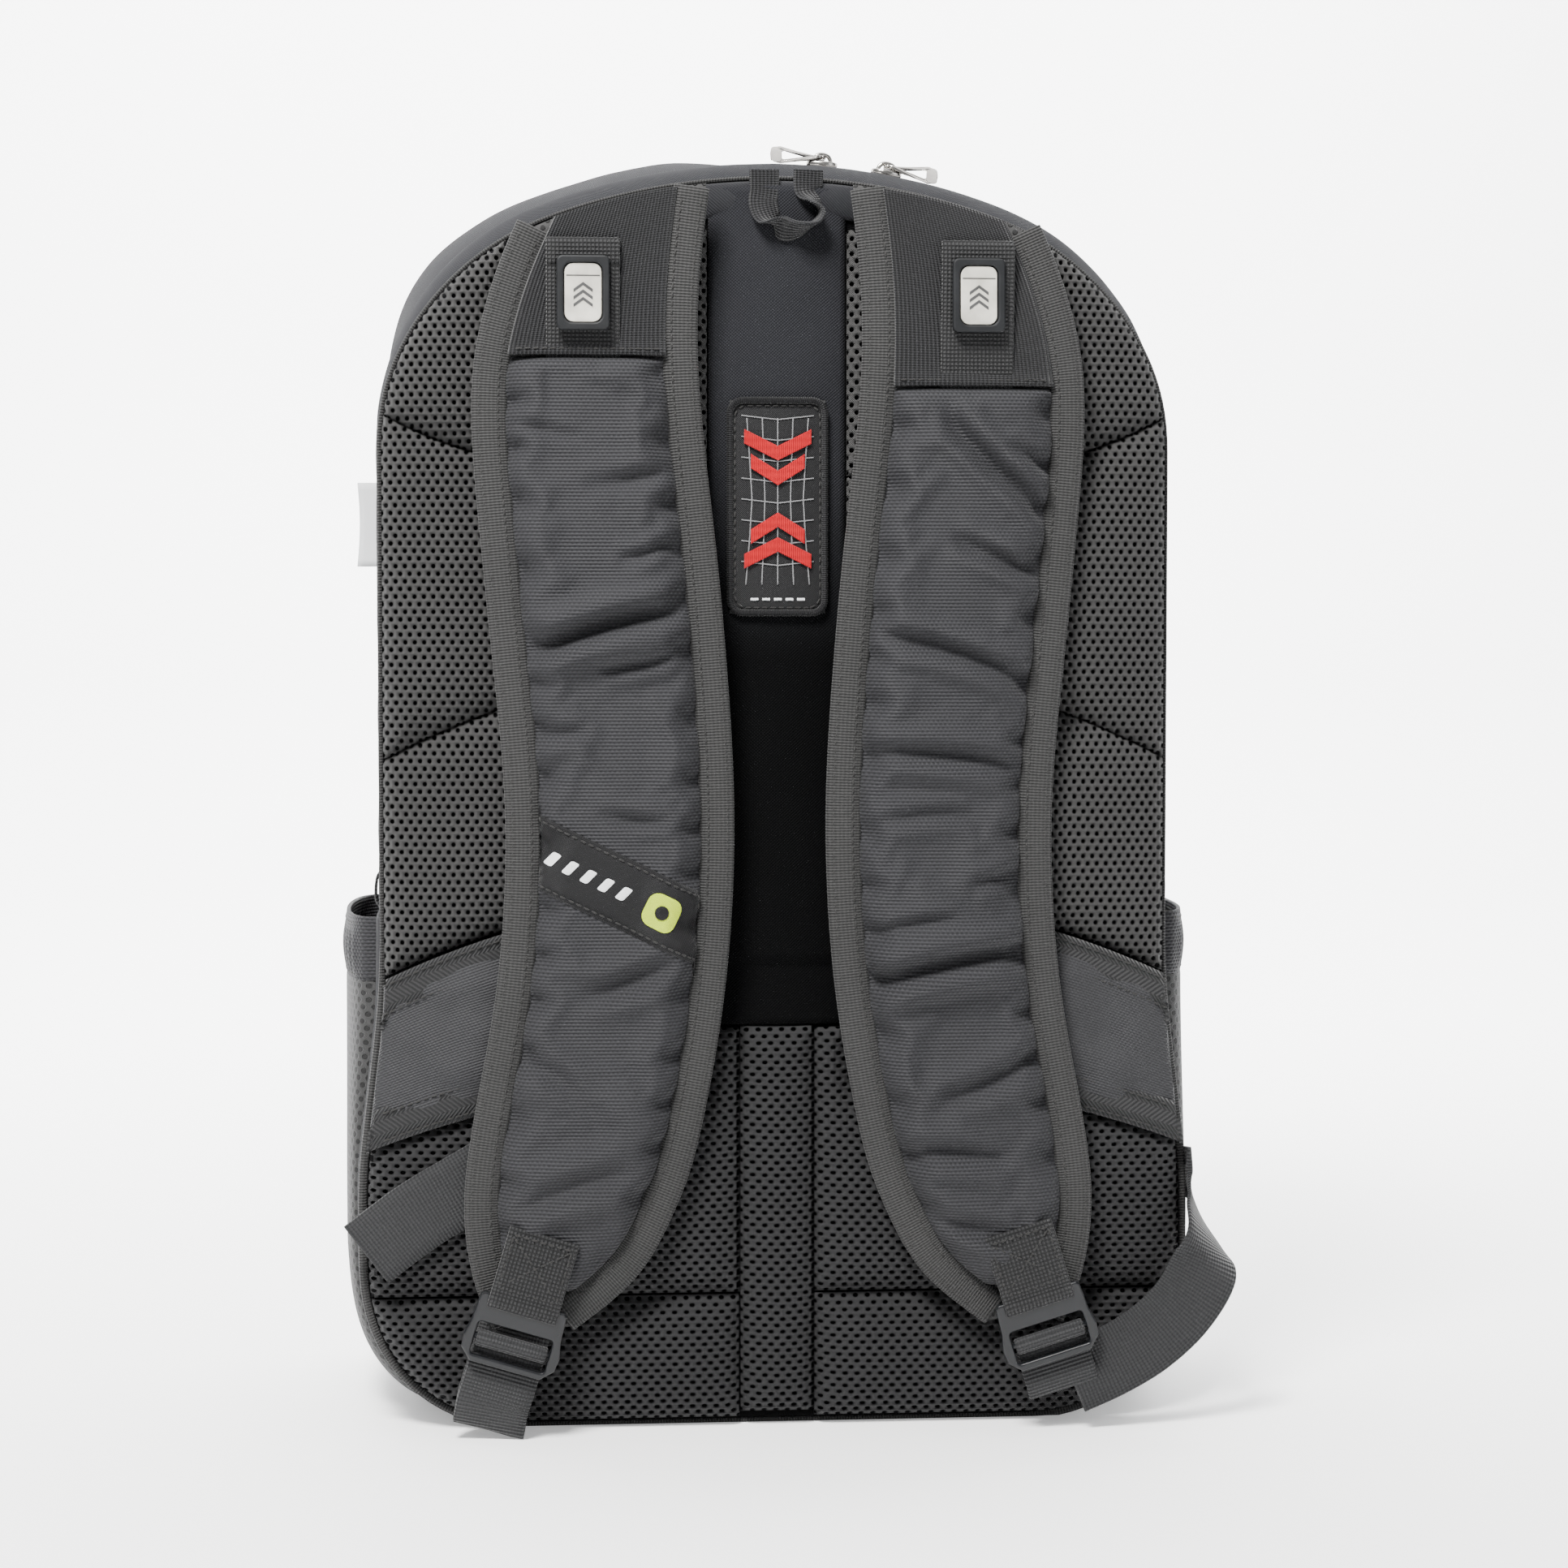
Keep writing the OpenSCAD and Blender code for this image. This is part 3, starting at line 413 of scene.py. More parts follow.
def make(name, verts, faces, material, body, uvs=None, smooth=True, replaces=(), slot=None, thick=0.0,
         subdiv=0):
    """A piece from vertices in millimetres. uvs are per vertex, in metres, so a weave keeps its scale."""
    mesh = bpy.data.meshes.new(name)
    verts = np.asarray(verts, float) / 1000
    verts[:, 2] = np.maximum(verts[:, 2], 0.0002)
    mesh.from_pydata(verts.tolist(), [], [list(map(int, f)) for f in faces])
    mesh.update()
    if uvs is None:
        uvs = verts[:, [0, 2]]
    layer = mesh.uv_layers.new(name="UVMap")
    loops = np.empty(len(mesh.loops), np.int32)
    mesh.loops.foreach_get("vertex_index", loops)
    layer.data.foreach_set("uv", np.asarray(uvs, np.float32)[loops].ravel())
    mesh.polygons.foreach_set("use_smooth", [smooth] * len(mesh.polygons))
    piece = bpy.data.objects.new(name, mesh)
    scene.collection.objects.link(piece)
    mesh.materials.append(material)
    if thick:
        solid = piece.modifiers.new("thickness", "SOLIDIFY")
        solid.thickness = thick / 1000
        solid.offset = -1
    if subdiv:
        piece.modifiers.new("smooth", "SUBSURF").levels = subdiv
        piece.modifiers["smooth"].render_levels = subdiv
    if body:
        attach(piece, body)
    if replaces:
        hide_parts(*replaces)
    return piece


def grid_faces(rows, cols, closed_rows=False, closed_cols=False, flip=False):
    faces = []
    for i in range(rows if closed_rows else rows - 1):
        for j in range(cols if closed_cols else cols - 1):
            a, b = i * cols + j, i * cols + (j + 1) % cols
            c, d = (i + 1) % rows * cols + (j + 1) % cols, (i + 1) % rows * cols + j
            faces.append((a, d, c, b) if flip else (a, b, c, d))
    return faces


def grid_uv(points):
    """Lengths along the columns and rows of a grid of points, in metres."""
    across = np.linalg.norm(np.diff(points, axis=1), axis=2)
    along = np.linalg.norm(np.diff(points, axis=0), axis=2)
    u = np.concatenate([[0], np.cumsum(across.mean(0))])
    v = np.concatenate([[0], np.cumsum(along.mean(1))])
    uu, vv = np.meshgrid(u, v)
    return np.stack([uu, vv], 2).reshape(-1, 2) / 1000


def sheet(name, points, material, body, flip=False, closed_cols=False, **more):
    points = np.asarray(points, float)
    rows, cols = points.shape[:2]
    uvs = more.pop("uvs", None)
    return make(name, points.reshape(-1, 3), grid_faces(rows, cols, False, closed_cols, flip), material,
                body,
                uvs=grid_uv(points) if uvs is None else uvs, **more)


def pillow(front, under, flip):
    """Closes two layers of points with a row of faces round their border."""
    rows, cols = front.shape[:2]
    count = rows * cols
    faces = grid_faces(rows, cols, flip=flip)
    faces += [tuple(k + count for k in f[::-1]) for f in faces]
    border = ([(0, j) for j in range(cols)] + [(i, cols - 1) for i in range(1, rows)]
              + [(rows - 1, j) for j in range(cols - 2, -1, -1)] + [(i, 0) for i in range(rows - 2, 0, -1)])
    ids = [i * cols + j for i, j in border]
    for a, b in zip(ids, ids[1:] + ids[:1]):
        faces.append((a, b, b + count, a + count) if flip else (b, a, a + count, b + count))
    return np.concatenate([front.reshape(-1, 3), under.reshape(-1, 3)]), faces


def weld(piece):
    """Joins the points that meet where a sheet closes on itself."""
    bm = bmesh.new()
    bm.from_mesh(piece.data)
    bmesh.ops.remove_doubles(bm, verts=bm.verts, dist=1e-5)
    bm.to_mesh(piece.data)
    bm.free()


def at_depth(flat, y):
    """Points given as X and Z, set at a depth."""
    return np.stack([flat[:, 0], np.full(len(flat), float(y)), flat[:, 1]], 1)


def resample(points, count):
    points = np.asarray(points, float)
    length = np.concatenate([[0], np.cumsum(np.linalg.norm(np.diff(points, axis=0), axis=1))])
    at = np.linspace(0, length[-1], count)
    return np.stack([np.interp(at, length, points[:, k]) for k in range(points.shape[1])], 1)


def smoothed(points, times, closed=False):
    points = np.array(points, float)
    for _ in range(times):
        before, after = np.roll(points, 1, 0), np.roll(points, -1, 0)
        moved = 0.25 * before + 0.5 * points + 0.25 * after
        if not closed:
            moved[0], moved[-1] = points[0], points[-1]
        points = moved
    return points


def spline_through(stations, per=8):
    """Catmull-Rom points through rows of numbers."""
    s = np.asarray(stations, float)
    out = []
    for i in range(len(s) - 1):
        p0, p1, p2, p3 = s[max(i - 1, 0)], s[i], s[i + 1], s[min(i + 2, len(s) - 1)]
        for t in np.linspace(0, 1, per, endpoint=False):
            out.append(0.5 * (2 * p1 + (p2 - p0) * t + (2 * p0 - 5 * p1 + 4 * p2 - p3) * t ** 2
                              + (3 * p1 - p0 - 3 * p2 + p3) * t ** 3))
    return np.array(out + [s[-1]])


def unit(v):
    return v / np.maximum(np.linalg.norm(v, axis=-1, keepdims=True), 1e-9)


def tangents(path):
    return unit(np.gradient(path, axis=0))


def sweep(path, side, up, profile):
    """Grid of points of a profile of (side, up) offsets carried along a path."""
    profile = np.asarray(profile, float)
    return (path[:, None] + side[:, None] * profile[None, :, :1] + up[:, None] * profile[None, :, 1:2])


def tube(name, path, radius, material, body, sides=8, **more):
    t = tangents(path)
    side = unit(np.cross(t, np.array([0.01, 1, 0.02])))
    up = np.cross(side, t)
    ring = [(radius * math.cos(a), radius * math.sin(a))
            for a in np.linspace(0, 2 * math.pi, sides, endpoint=False)]
    points = sweep(path, side, up, ring)
    rows = len(points)
    faces = grid_faces(rows, sides, False, True)
    faces += [tuple(range(sides))[::-1], tuple((rows - 1) * sides + k for k in range(sides))]
    return make(name, points.reshape(-1, 3), faces, material, body, uvs=grid_uv(points), **more)


class Ripples:
    """Smooth folds from a few seeded waves: a height from -1 to 1 at points in millimetres."""

    def __init__(self, seed, size, count=7, stretch=1.0):
        r = random.Random(seed)
        self.waves = []
        for _ in range(count):
            a = r.uniform(0, math.pi)
            w = 2 * math.pi / (size * r.uniform(0.6, 1.7))
            self.waves.append((w * math.cos(a), w * math.sin(a) * stretch, r.uniform(0, 6.28),
                               r.uniform(0.5, 1)))

    def __call__(self, x, z):
        total = sum(k[3] * np.sin(k[0] * x + k[1] * z + k[2] + 0.6 * np.sin(0.7 * k[0] * z - k[1] * x))
                    for k in self.waves)
        return total / sum(k[3] for k in self.waves)


def crease(x, z, a, b, width, depth, bulge=0.5):
    """A fold along a line from a to b: a groove with a soft roll below it, fading at its ends."""
    ax, az, bx, bz = a[0], a[1], b[0], b[1]
    length = math.hypot(bx - ax, bz - az)
    ux, uz = (bx - ax) / length, (bz - az) / length
    t = ((x - ax) * ux + (z - az) * uz) / length
    bend = 0.12 * length * (t - t * t)
    d = (x - ax) * -uz + (z - az) * ux - bend
    fade = np.clip(1 - np.maximum(np.maximum(-t, t - 1), 0) * length / (2.5 * width), 0, 1)
    fade = fade * fade * (3 - 2 * fade) * (0.65 + 0.35 * np.sin(np.clip(t, 0, 1) * math.pi))
    groove = np.exp(-(d / width) ** 2)
    roll = np.exp(-((np.abs(d) - 2.1 * width) / (1.3 * width)) ** 2)
    return depth * fade * (-groove + bulge * roll)


def round_edge(d, r):
    """Rises from 0 at an edge to 1 at a distance r from it, as a quarter circle does."""
    t = np.clip(d / r, 0, 1)
    return np.sqrt(np.maximum(1 - (1 - t) ** 2, 0))


def project_uv(mesh):
    """UVs in metres from the side each face looks to."""
    layer = mesh.uv_layers.get("UVMap") or mesh.uv_layers.new(name="UVMap")
    points = np.array([v.co for v in mesh.vertices])
    for face in mesh.polygons:
        n = [abs(c) for c in face.normal]
        a, b = {0: (1, 2), 1: (0, 2), 2: (0, 1)}[n.index(max(n))]
        for k in face.loop_indices:
            p = points[mesh.loops[k].vertex_index]
            layer.data[k].uv = (p[a], p[b])


def plate(name, outer, holes, depth, bevel, material, body, place, **more):
    """A flat plate with holes and rounded edges. place(x, y, z) turns its own points into the row frame."""
    curve = bpy.data.curves.new(name + "_outline", "CURVE")
    curve.dimensions = "2D"
    curve.fill_mode = "BOTH"
    curve.extrude = max(depth / 2 - bevel, 0.001)
    curve.bevel_depth = bevel
    curve.bevel_resolution = 2
    curve.offset = -bevel
    for ring in [outer, *holes]:
        spline = curve.splines.new("POLY")
        spline.points.add(len(ring) - 1)
        for point, (x, y) in zip(spline.points, ring):
            point.co = (x, y, 0, 1)
        spline.use_cyclic_u = True
    holder = bpy.data.objects.new(name + "_outline", curve)
    scene.collection.objects.link(holder)
    mesh = bpy.data.meshes.new_from_object(holder.evaluated_get(bpy.context.evaluated_depsgraph_get()))
    bpy.data.objects.remove(holder)
    bm = bmesh.new()
    bm.from_mesh(mesh)
    bmesh.ops.remove_doubles(bm, verts=bm.verts, dist=0.001)
    verts = np.array([place(*v.co) for v in bm.verts])
    bm.verts.index_update()
    faces = [[v.index for v in f.verts] for f in bm.faces]
    bm.free()
    piece = make(name, verts, faces, material, body, smooth=more.pop("smooth", False), **more)
    project_uv(piece.data)
    return piece


def rounded(w, h, r, cx=0.0, cy=0.0, steps=6):
    """A rectangle with round corners."""
    ring = []
    for sx, sy, a0 in ((1, -1, -90), (1, 1, 0), (-1, 1, 90), (-1, -1, 180)):
        for a in np.linspace(a0, a0 + 90, steps):
            ring.append((cx + sx * (w / 2 - r) + r * math.cos(math.radians(a)),
                         cy + sy * (h / 2 - r) + r * math.sin(math.radians(a))))
    return ring


def stitches(name, path, body, material="thread", length=2.3, gap=0.9, radius=0.38, out=(0, -1, 0)):
    """A dashed line of sewing along a path, each stitch a small bulged capsule."""
    path = np.asarray(path, float)
    total = np.linalg.norm(np.diff(path, axis=0), axis=1).sum()
    fine = resample(path, max(int(total / 0.4), 8))
    count = int(total / (length + gap))
    verts, faces = [], []
    out = np.asarray(out, float)
    for k in range(count):
        i = int((k + 0.5) / count * (len(fine) - 1))
        t = unit(fine[min(i + 2, len(fine) - 1)] - fine[max(i - 2, 0)])
        side = unit(np.cross(t, out))
        up = np.cross(side, t)
        start = len(verts)
        for a, r, lift in ((-0.5, 0.35, -0.35), (-0.28, 0.95, 0.05), (0.28, 0.95, 0.05), (0.5, 0.35, -0.35)):
            for q in range(5):
                w = 2 * math.pi * q / 5
                offset = side * math.cos(w) * radius * r + up * (math.sin(w) * radius * r + lift * radius)
                verts.append(fine[i] + t * a * length + offset)
        faces += [tuple(start + f for f in face) for face in grid_faces(4, 5, False, True)]
        faces += [tuple(start + q for q in range(4, -1, -1)), tuple(start + 15 + q for q in range(5))]
    return make(name, verts, faces, CLOTHS[material], body, uvs=np.asarray(verts)[:, [0, 2]] / 1000)


def ribbon(name, stations, width, material, body, thick=WEBBING_T, per=8, **more):
    """Flat webbing through stations of (point, direction across): a closed band with rounded edges."""
    rows = spline_through([list(p) + list(d) for p, d in stations], per)
    path, rough = rows[:, :3], rows[:, 3:]
    t = tangents(path)
    face = unit(np.cross(t, rough))
    across = np.cross(face, t)
    half, e = width / 2, thick / 2
    profile = [(-half, 0)]
    profile += [(x, e) for x in np.linspace(-half + 0.5, half - 0.5, 7)]
    profile += [(half, 0)]
    profile += [(x, -e) for x in np.linspace(half - 0.5, -half + 0.5, 7)]
    points = sweep(path, across, face, profile)
    n = len(profile)
    faces = grid_faces(len(points), n, False, True)
    faces += [tuple(range(n)), tuple((len(points) - 1) * n + k for k in range(n - 1, -1, -1))]
    length = np.concatenate([[0], np.cumsum(np.linalg.norm(np.diff(path, axis=0), axis=1))])
    uvs = np.array([[p[0], s] for s in length for p in profile]) / 1000
    return make(name, points.reshape(-1, 3), faces, material, body, uvs=uvs, **more)


# ---------------------------------------------------------------- outlines


def arch(hw, top, tr, cr, inset=0.0):
    """Right half of an arch, from its side to the top middle, as X and Z."""
    ax = hw - cr
    az = top - tr + math.sqrt((tr - cr) ** 2 - ax * ax)
    meet = math.asin(ax / (tr - cr))
    corner = [(ax + (cr - inset) * math.sin(a), az + (cr - inset) * math.cos(a))
              for a in np.linspace(math.pi / 2, meet, 24)]
    crown = [((tr - inset) * math.sin(a), top - tr + (tr - inset) * math.cos(a))
             for a in np.linspace(meet, 0, 24)]
    return corner + crown[1:]


def body_half(inset=0.0):
    """Right half of the body's outline, from the base's middle up to the top's."""
    turn = [(HALF_TUB - BASE_R + (BASE_R - inset) * math.sin(b), BASE_R - (BASE_R - inset) * math.cos(b))
            for b in np.linspace(0, math.pi / 2, 16)]
    half = [(0, inset), *turn, (HALF_TUB - inset, BELLY_Z), (HALF_W - inset, WAIST_Z),
            *arch(HALF_W, TOP_Z, TOP_R, CORNER_R, inset)]
    return smoothed(resample(half, 420), 40)


def taper(z):
    """How far the back panel's outline lies inside the bag's: more towards the top."""
    t = np.clip((z - 380) / 95, 0, 1)
    return 0.8 + 7.2 * t * t * (3 - 2 * t)


def back_half(inset=0.0):
    """Right half of the back panel's outline."""
    half = body_half()
    return half - normals_2d(half, False) * (inset + taper(half[:, 1]))[:, None]


def half_width(z, inset=0.0):
    """Half the body's width at a height, less an inset."""
    half = body_half(inset)
    top = np.argmax(half[:, 1])
    return np.interp(z, half[:top + 1, 1], half[:top + 1, 0])


top_tables = {}


def top_at(x, inset=0.0, back=False):
    """Height of the body's outline, or the back panel's, above a place across it."""
    if (inset, back) not in top_tables:
        half = back_half(inset) if back else body_half(inset)
        upper = half[half[:, 1] > SPLIT_Z]
        top_tables[inset, back] = upper[np.argmax(upper[:, 0]):]
    upper = top_tables[inset, back]
    return np.interp(np.abs(x), upper[::-1, 0], upper[::-1, 1])


def loop_of(half, closed_bottom=True):
    """Mirrors the right half of an outline into the whole of it."""
    left = half[::-1] * [-1, 1]
    return np.concatenate([half, left[1:-1 if closed_bottom else None]])


def normals_2d(path, closed):
    """Unit normals of a planar path, to the right of its direction."""
    t = np.roll(path, -1, 0) - np.roll(path, 1, 0) if closed else np.gradient(path, axis=0)
    return unit(np.stack([t[:, 1], -t[:, 0]], 1))


def body_loop(count):
    """The body's whole outline with its normals."""
    half = body_half()
    ring = loop_of(resample(half, count // 2 + 1))
    return ring, normals_2d(ring, True)


def upper_arch(count, low=SPLIT_Z, half=None):
    """Outline above a height, from the right foot over the top to the left foot."""
    half = body_half() if half is None else half
    z = half[:, 1]
    keep = np.argmax(z >= low)
    start = [np.interp(low, z[keep - 1:keep + 1], half[keep - 1:keep + 1, 0]), low]
    side = resample(np.concatenate([[start], half[keep:]]), count // 2 + 1)
    path = loop_of(side, False)
    return path, normals_2d(path, False)


def lower_cup(count, high=SPLIT_Z):
    """Outline below a height, from the left top round the base to the right top."""
    half = body_half()
    keep = half[half[:, 1] < high]
    end = [half_width(high), high]
    side = resample(np.concatenate([keep, [end]]), count // 2 + 1)
    path = np.concatenate([side[::-1] * [-1, 1], side[1:]])
    return path, normals_2d(path, False)


def distance(points, ring):
    """Signed distance from points to a closed outline, positive inside, and the nearest place on it."""
    ring = np.asarray(ring, float)
    best = np.full(len(points), 1e9)
    near = np.zeros_like(points)
    inside = np.zeros(len(points), bool)
    x, z = points[:, 0], points[:, 1]
    for (ax, az), (bx, bz) in zip(ring, np.roll(ring, -1, 0)):
        dx, dz = bx - ax, bz - az
        size = dx * dx + dz * dz
        if size < 1e-9:
            continue
        t = np.clip(((x - ax) * dx + (z - az) * dz) / size, 0, 1)
        px, pz = ax + t * dx, az + t * dz
        d = np.hypot(x - px, z - pz)
        closer = d < best
        best = np.where(closer, d, best)
        near[closer] = np.stack([px, pz], 1)[closer]
        if dz:
            inside ^= ((az > z) != (bz > z)) & (x < (bx - ax) * (z - az) / dz + ax)
    return np.where(inside, best, -best), near


def shell(name, path, normal, profile, centre, crown, steps, material, body, closed=False,
          relief=None, lift=None, reach=60.0, **more):
    """Side wall through a profile of (depth, outset), then a face that closes to a line of middle points."""
    rows = []
    for y, out in profile:
        grow = out if lift is None else out + lift(path, y)
        xz = path + normal * np.asarray(grow).reshape(-1, 1)
        rows.append(at_depth(xz, y))
    last = rows[-1]
    if closed:
        centre = np.round(np.asarray(centre) / 3) * 3
    for t in np.linspace(0, 1, steps + 1)[1:]:
        xz = last[:, [0, 2]] * (1 - t) + centre * t
        d = np.maximum(distance(xz, last[:, [0, 2]])[0], 0)
        y = last[:, 1] + crown * np.sin(np.clip(d / reach, 0, 1) * math.pi / 2)
        rows.append(np.stack([xz[:, 0], y, xz[:, 1]], 1))
    points = np.array(rows)
    if relief is not None:
        points = relief(points)
    flat = points.reshape(-1, 3)
    side = np.array([y < profile[-1][0] - 6 for y in flat[:, 1]])
    run = grid_uv(points)
    uvs = np.where(side[:, None], run, flat[:, [0, 2]] / 1000)
    piece = sheet(name, points, material, body, closed_cols=closed, uvs=uvs, **more)
    weld(piece)
    return piece


# ---------------------------------------------------------------- body shell

soft = Ripples(3, 90)
fine_fold = Ripples(5, 26)


def nudge(amount, ripples=soft, small=0.35, low=0.0, high=9999.0):
    """Moves a shell's points in and out a little, as filled cloth sags and folds."""
    def relief(points):
        x, y, z = points[..., 0], points[..., 1], points[..., 2]
        centre = np.array([0, 0, 240.0])
        away = unit(points - centre)
        wave = ripples(x + 0.6 * y, z - 0.4 * y) + small * fine_fold(x - y, z + 0.8 * y)
        fade = np.ones(points.shape[:2])
        fade[0] = fade[-1] = 0
        fade[1] = 0.4
        fade = fade * np.clip((np.abs(z - SPLIT_Z) - 2) / 30, 0, 1)
        points = points + away * (amount * wave * fade)[..., None]
        points[..., 2] = np.clip(points[..., 2], low, high)
        return points
    return relief


path, normal = upper_arch(180)
rim_profile = [(BACK_Y + 3.6, 1.05, -0.8), (BACK_Y + 4.2, 0.98, 0.0), (BACK_Y + 8, 0.7, 0.4),
               (BACK_Y + 13, 0.4, 0.6),
               (ZIP_REAR_Y - 4, 0.1, 0.5), (ZIP_REAR_Y, 0.0, -0.3), (ZIP_REAR_Y + 0.2, 0.0, -1.4)]
rows = []
for y, share, out in rim_profile:
    fold = 0.5 * fine_fold(path[:, 0], path[:, 1]) * (0.1 < share < 0.9)
    xz = path + normal * (out - share * taper(path[:, 1]) + fold)[:, None]
    rows.append(at_depth(xz, y))
sheet("rim_cloth", rows, CLOTHS["panel"], "pack_body", replaces=("rim_gusset",), slot="black_nylon",
      thick=1.2, subdiv=1)


def flap_lift(path, y):
    """The full flap stands proud of the zip over the top of the bag."""
    high = np.clip((path[:, 1] - 395) / 60, 0, 1)
    swell = math.sin(math.pi * min(max((y - ZIP_FRONT_Y) / (FRONT_Y - ZIP_FRONT_Y + 22), 0), 1))
    left = np.clip((18 - path[:, 0]) / 60, 0, 1)
    return high * high * (3 - 2 * high) * (1.5 + 10.5 * left * left * (3 - 2 * left)) * swell


flap_profile = [(ZIP_FRONT_Y - 0.2, -1.6), (ZIP_FRONT_Y, -0.6), (ZIP_FRONT_Y + 4, -0.3), (-22, -0.2),
                (0, 0.0), (25, -0.4), (45, -1.6),
                (58, -3.5), (66, -6), (71.5, -11), (74, -18)]
path, normal = upper_arch(200, SPLIT_Z + GAP)
middle = np.stack([np.zeros(len(path)), SPLIT_Z + GAP + (path[:, 1] - SPLIT_Z - GAP) * 0.72], 1)
shell("flap_cloth", path, normal, flap_profile, middle, -0.5, 12, CLOTHS["panel"], "front_flap",
      relief=nudge(0.9, low=SPLIT_Z + GAP + 0.6),
      lift=flap_lift, replaces=("gusset_upper", "front_panel_upper"), slot="black_nylon", thick=1.6,
      subdiv=1)

tub_profile = [(BACK_Y + 4.2, -0.8), (BACK_Y + 7, 0.4), (BACK_Y + 16, 1.4), (-35, 1.2), (0, 1.4),
               (35, 0.8), (52, -1.4), (63, -5),
               (70, -10), (74, -18)]
path, normal = lower_cup(220)
middle = np.stack([np.zeros(len(path)), SPLIT_Z - (SPLIT_Z - path[:, 1]) * 0.8], 1)
shell("tub_cloth", path, normal, tub_profile, middle, -0.5, 12, CLOTHS["panel"], "pack_body",
      relief=nudge(0.6, high=SPLIT_Z - 0.6),
      replaces=("base_panel", "gusset_lower_left", "gusset_lower_right", "front_panel_lower"),
      slot="black_nylon",
      thick=1.6, subdiv=1)

ring, ring_normal = body_loop(300)
ring = ring - ring_normal * taper(ring[:, 1])[:, None]
middle = np.stack([np.zeros(len(ring)), 60 + (ring[:, 1] - 60) * 0.8], 1)
back_rows = []
for y, out in ((BACK_Y + 4.8, -14), (BACK_Y + 4.8, -1.5), (BACK_Y + 4, -0.4), (BACK_Y + 1, -0.4),
               (BACK_Y + 0.1, -1.5)):
    xz = ring + ring_normal * out
    back_rows.append(at_depth(xz, y))
for t in np.linspace(0, 1, 9)[1:]:
    xz = back_rows[4][:, [0, 2]] * (1 - t) + middle * t
    back_rows.append(at_depth(xz, BACK_Y + 0.1))
sheet("back_cloth", back_rows, CLOTHS["channel"], "pack_body", closed_cols=True, replaces=("back_panel",),
      slot="black_nylon")

piping = np.stack([ring[:, 0] + ring_normal[:, 0] * 0.6, np.full(len(ring), BACK_Y + 2.0),
                   ring[:, 1] + ring_normal[:, 1] * 0.6], 1)


def closed_tube(name, path, radii, material, body, **more):
    """A soft cord round a closed path, with different radii across and through."""
    t = unit(np.roll(path, -1, 0) - np.roll(path, 1, 0))
    up = np.tile(np.array([0.0, -1, 0]), (len(path), 1))
    side = unit(np.cross(up, t))
    wide = np.broadcast_to(np.asarray(radii[0], float), (len(path),))[:, None, None]
    deep = np.broadcast_to(np.asarray(radii[1], float), (len(path),))[:, None, None]
    turn = np.linspace(0, 2 * math.pi, 10, endpoint=False)[None, :, None]
    points = path[:, None] + side[:, None] * wide * np.cos(turn) + up[:, None] * deep * np.sin(turn)
    length = np.concatenate([[0], np.cumsum(np.linalg.norm(np.diff(path, axis=0), axis=1))])
    uvs = np.array([[k * 1.3, s] for s in length for k in range(10)]) / 1000
    faces = grid_faces(len(points), 10, True, True)
    return make(name, points.reshape(-1, 3), faces, material, body, uvs=uvs, **more)


thick_edge = 0.9 + 1.0 * np.clip((190 - ring[:, 1]) / 30, 0, 1)
closed_tube("edge_binding", piping, (thick_edge, thick_edge * 1.25), CLOTHS["binding"], "pack_body",
            slot="webbing")

# ---------------------------------------------------------------- zips


def coil(name, path, out, body, width=3.0, pitch=1.6, height=1.35, side=1, replaces=(), material="coil"):
    """One side of a coil zip: a spiral of plastic loops along a path. out is up from its tape."""
    total = np.linalg.norm(np.diff(path, axis=0), axis=1).sum()
    turns = int(total / pitch)
    per = 8
    fine = resample(np.concatenate([path, out], 1), turns * per + 1)
    p, up = fine[:, :3], unit(fine[:, 3:])
    t = tangents(p)
    across = unit(np.cross(t, up)) * side
    a = np.arange(len(p)) * 2 * math.pi / per
    line = p + across * (width * (0.5 - 0.5 * np.cos(a)))[:,
                                                          None] + up * (height * (0.5 + 0.5
        * np.sin(a)))[:, None]
    return tube(name, line, 0.42, SOLIDS[material], body, sides=5, replaces=replaces, slot="zip_coil")


def tape(name, path, out, y0, y1, body, replaces=()):
    """Zip tape between two depths, following the outline."""
    cols = np.linspace(y0, y1, 5)
    points = np.stack([np.stack([path[:, 0], np.full(len(path), y), path[:, 2]], 1) for y in cols], 1)
    return sheet(name, points, CLOTHS["tape"], body, thick=0.8, replaces=replaces, slot="black_nylon")


def zip_pair(name, path, normal, rear, front, middle, half=6.0, sink=0.7):
    """Tapes and coils of both halves of a zip; rear and front are (body, replaced nodes)."""
    for part, (body, nodes), side in (("rear", rear, -1), ("front", front, 1)):
        low = np.stack([path[:, 0] - normal[:, 0] * sink, np.zeros(len(path)),
                        path[:, 1] - normal[:, 1] * sink], 1)
        tape(name + "_tape_" + part, low, None, middle + side * (half + 1.5), middle + side * 0.6, body,
             replaces=nodes)
        line = low + [0, middle + side * 0.3, 0] + at_depth(normal, 0) * 0.2
        out = at_depth(normal, 0)
        coil(name + "_coil_" + part, line, out, body, side=-side, width=2.7)


path, normal = upper_arch(240, SPLIT_Z + 1)
zip_pair("main_zip", path, normal, ("pack_body", ("zip_rear",)), ("front_flap", ("zip_front",)), ZIP_Y)

# ---------------------------------------------------------------- back padding

PAD_H = BACK_Y - PAD_Y          # thickness of the back padding


def share_out(x):
    """0 at the channel and 1 at the body's side."""
    return (np.abs(x) - CHANNEL) / (HALF_W - CHANNEL)


def crease_upper(x):
    """Height of the crease under the upper pads."""
    return TOP_Z - 122 + 24 * share_out(x) ** 3


WING_TOP = 172
WING_RISE = 34
WING_LOW = 110


def wing_share(x):
    """0 at the body's side and 1 at the channel."""
    return (HALF_TUB - np.abs(x)) / (HALF_TUB - CHANNEL)


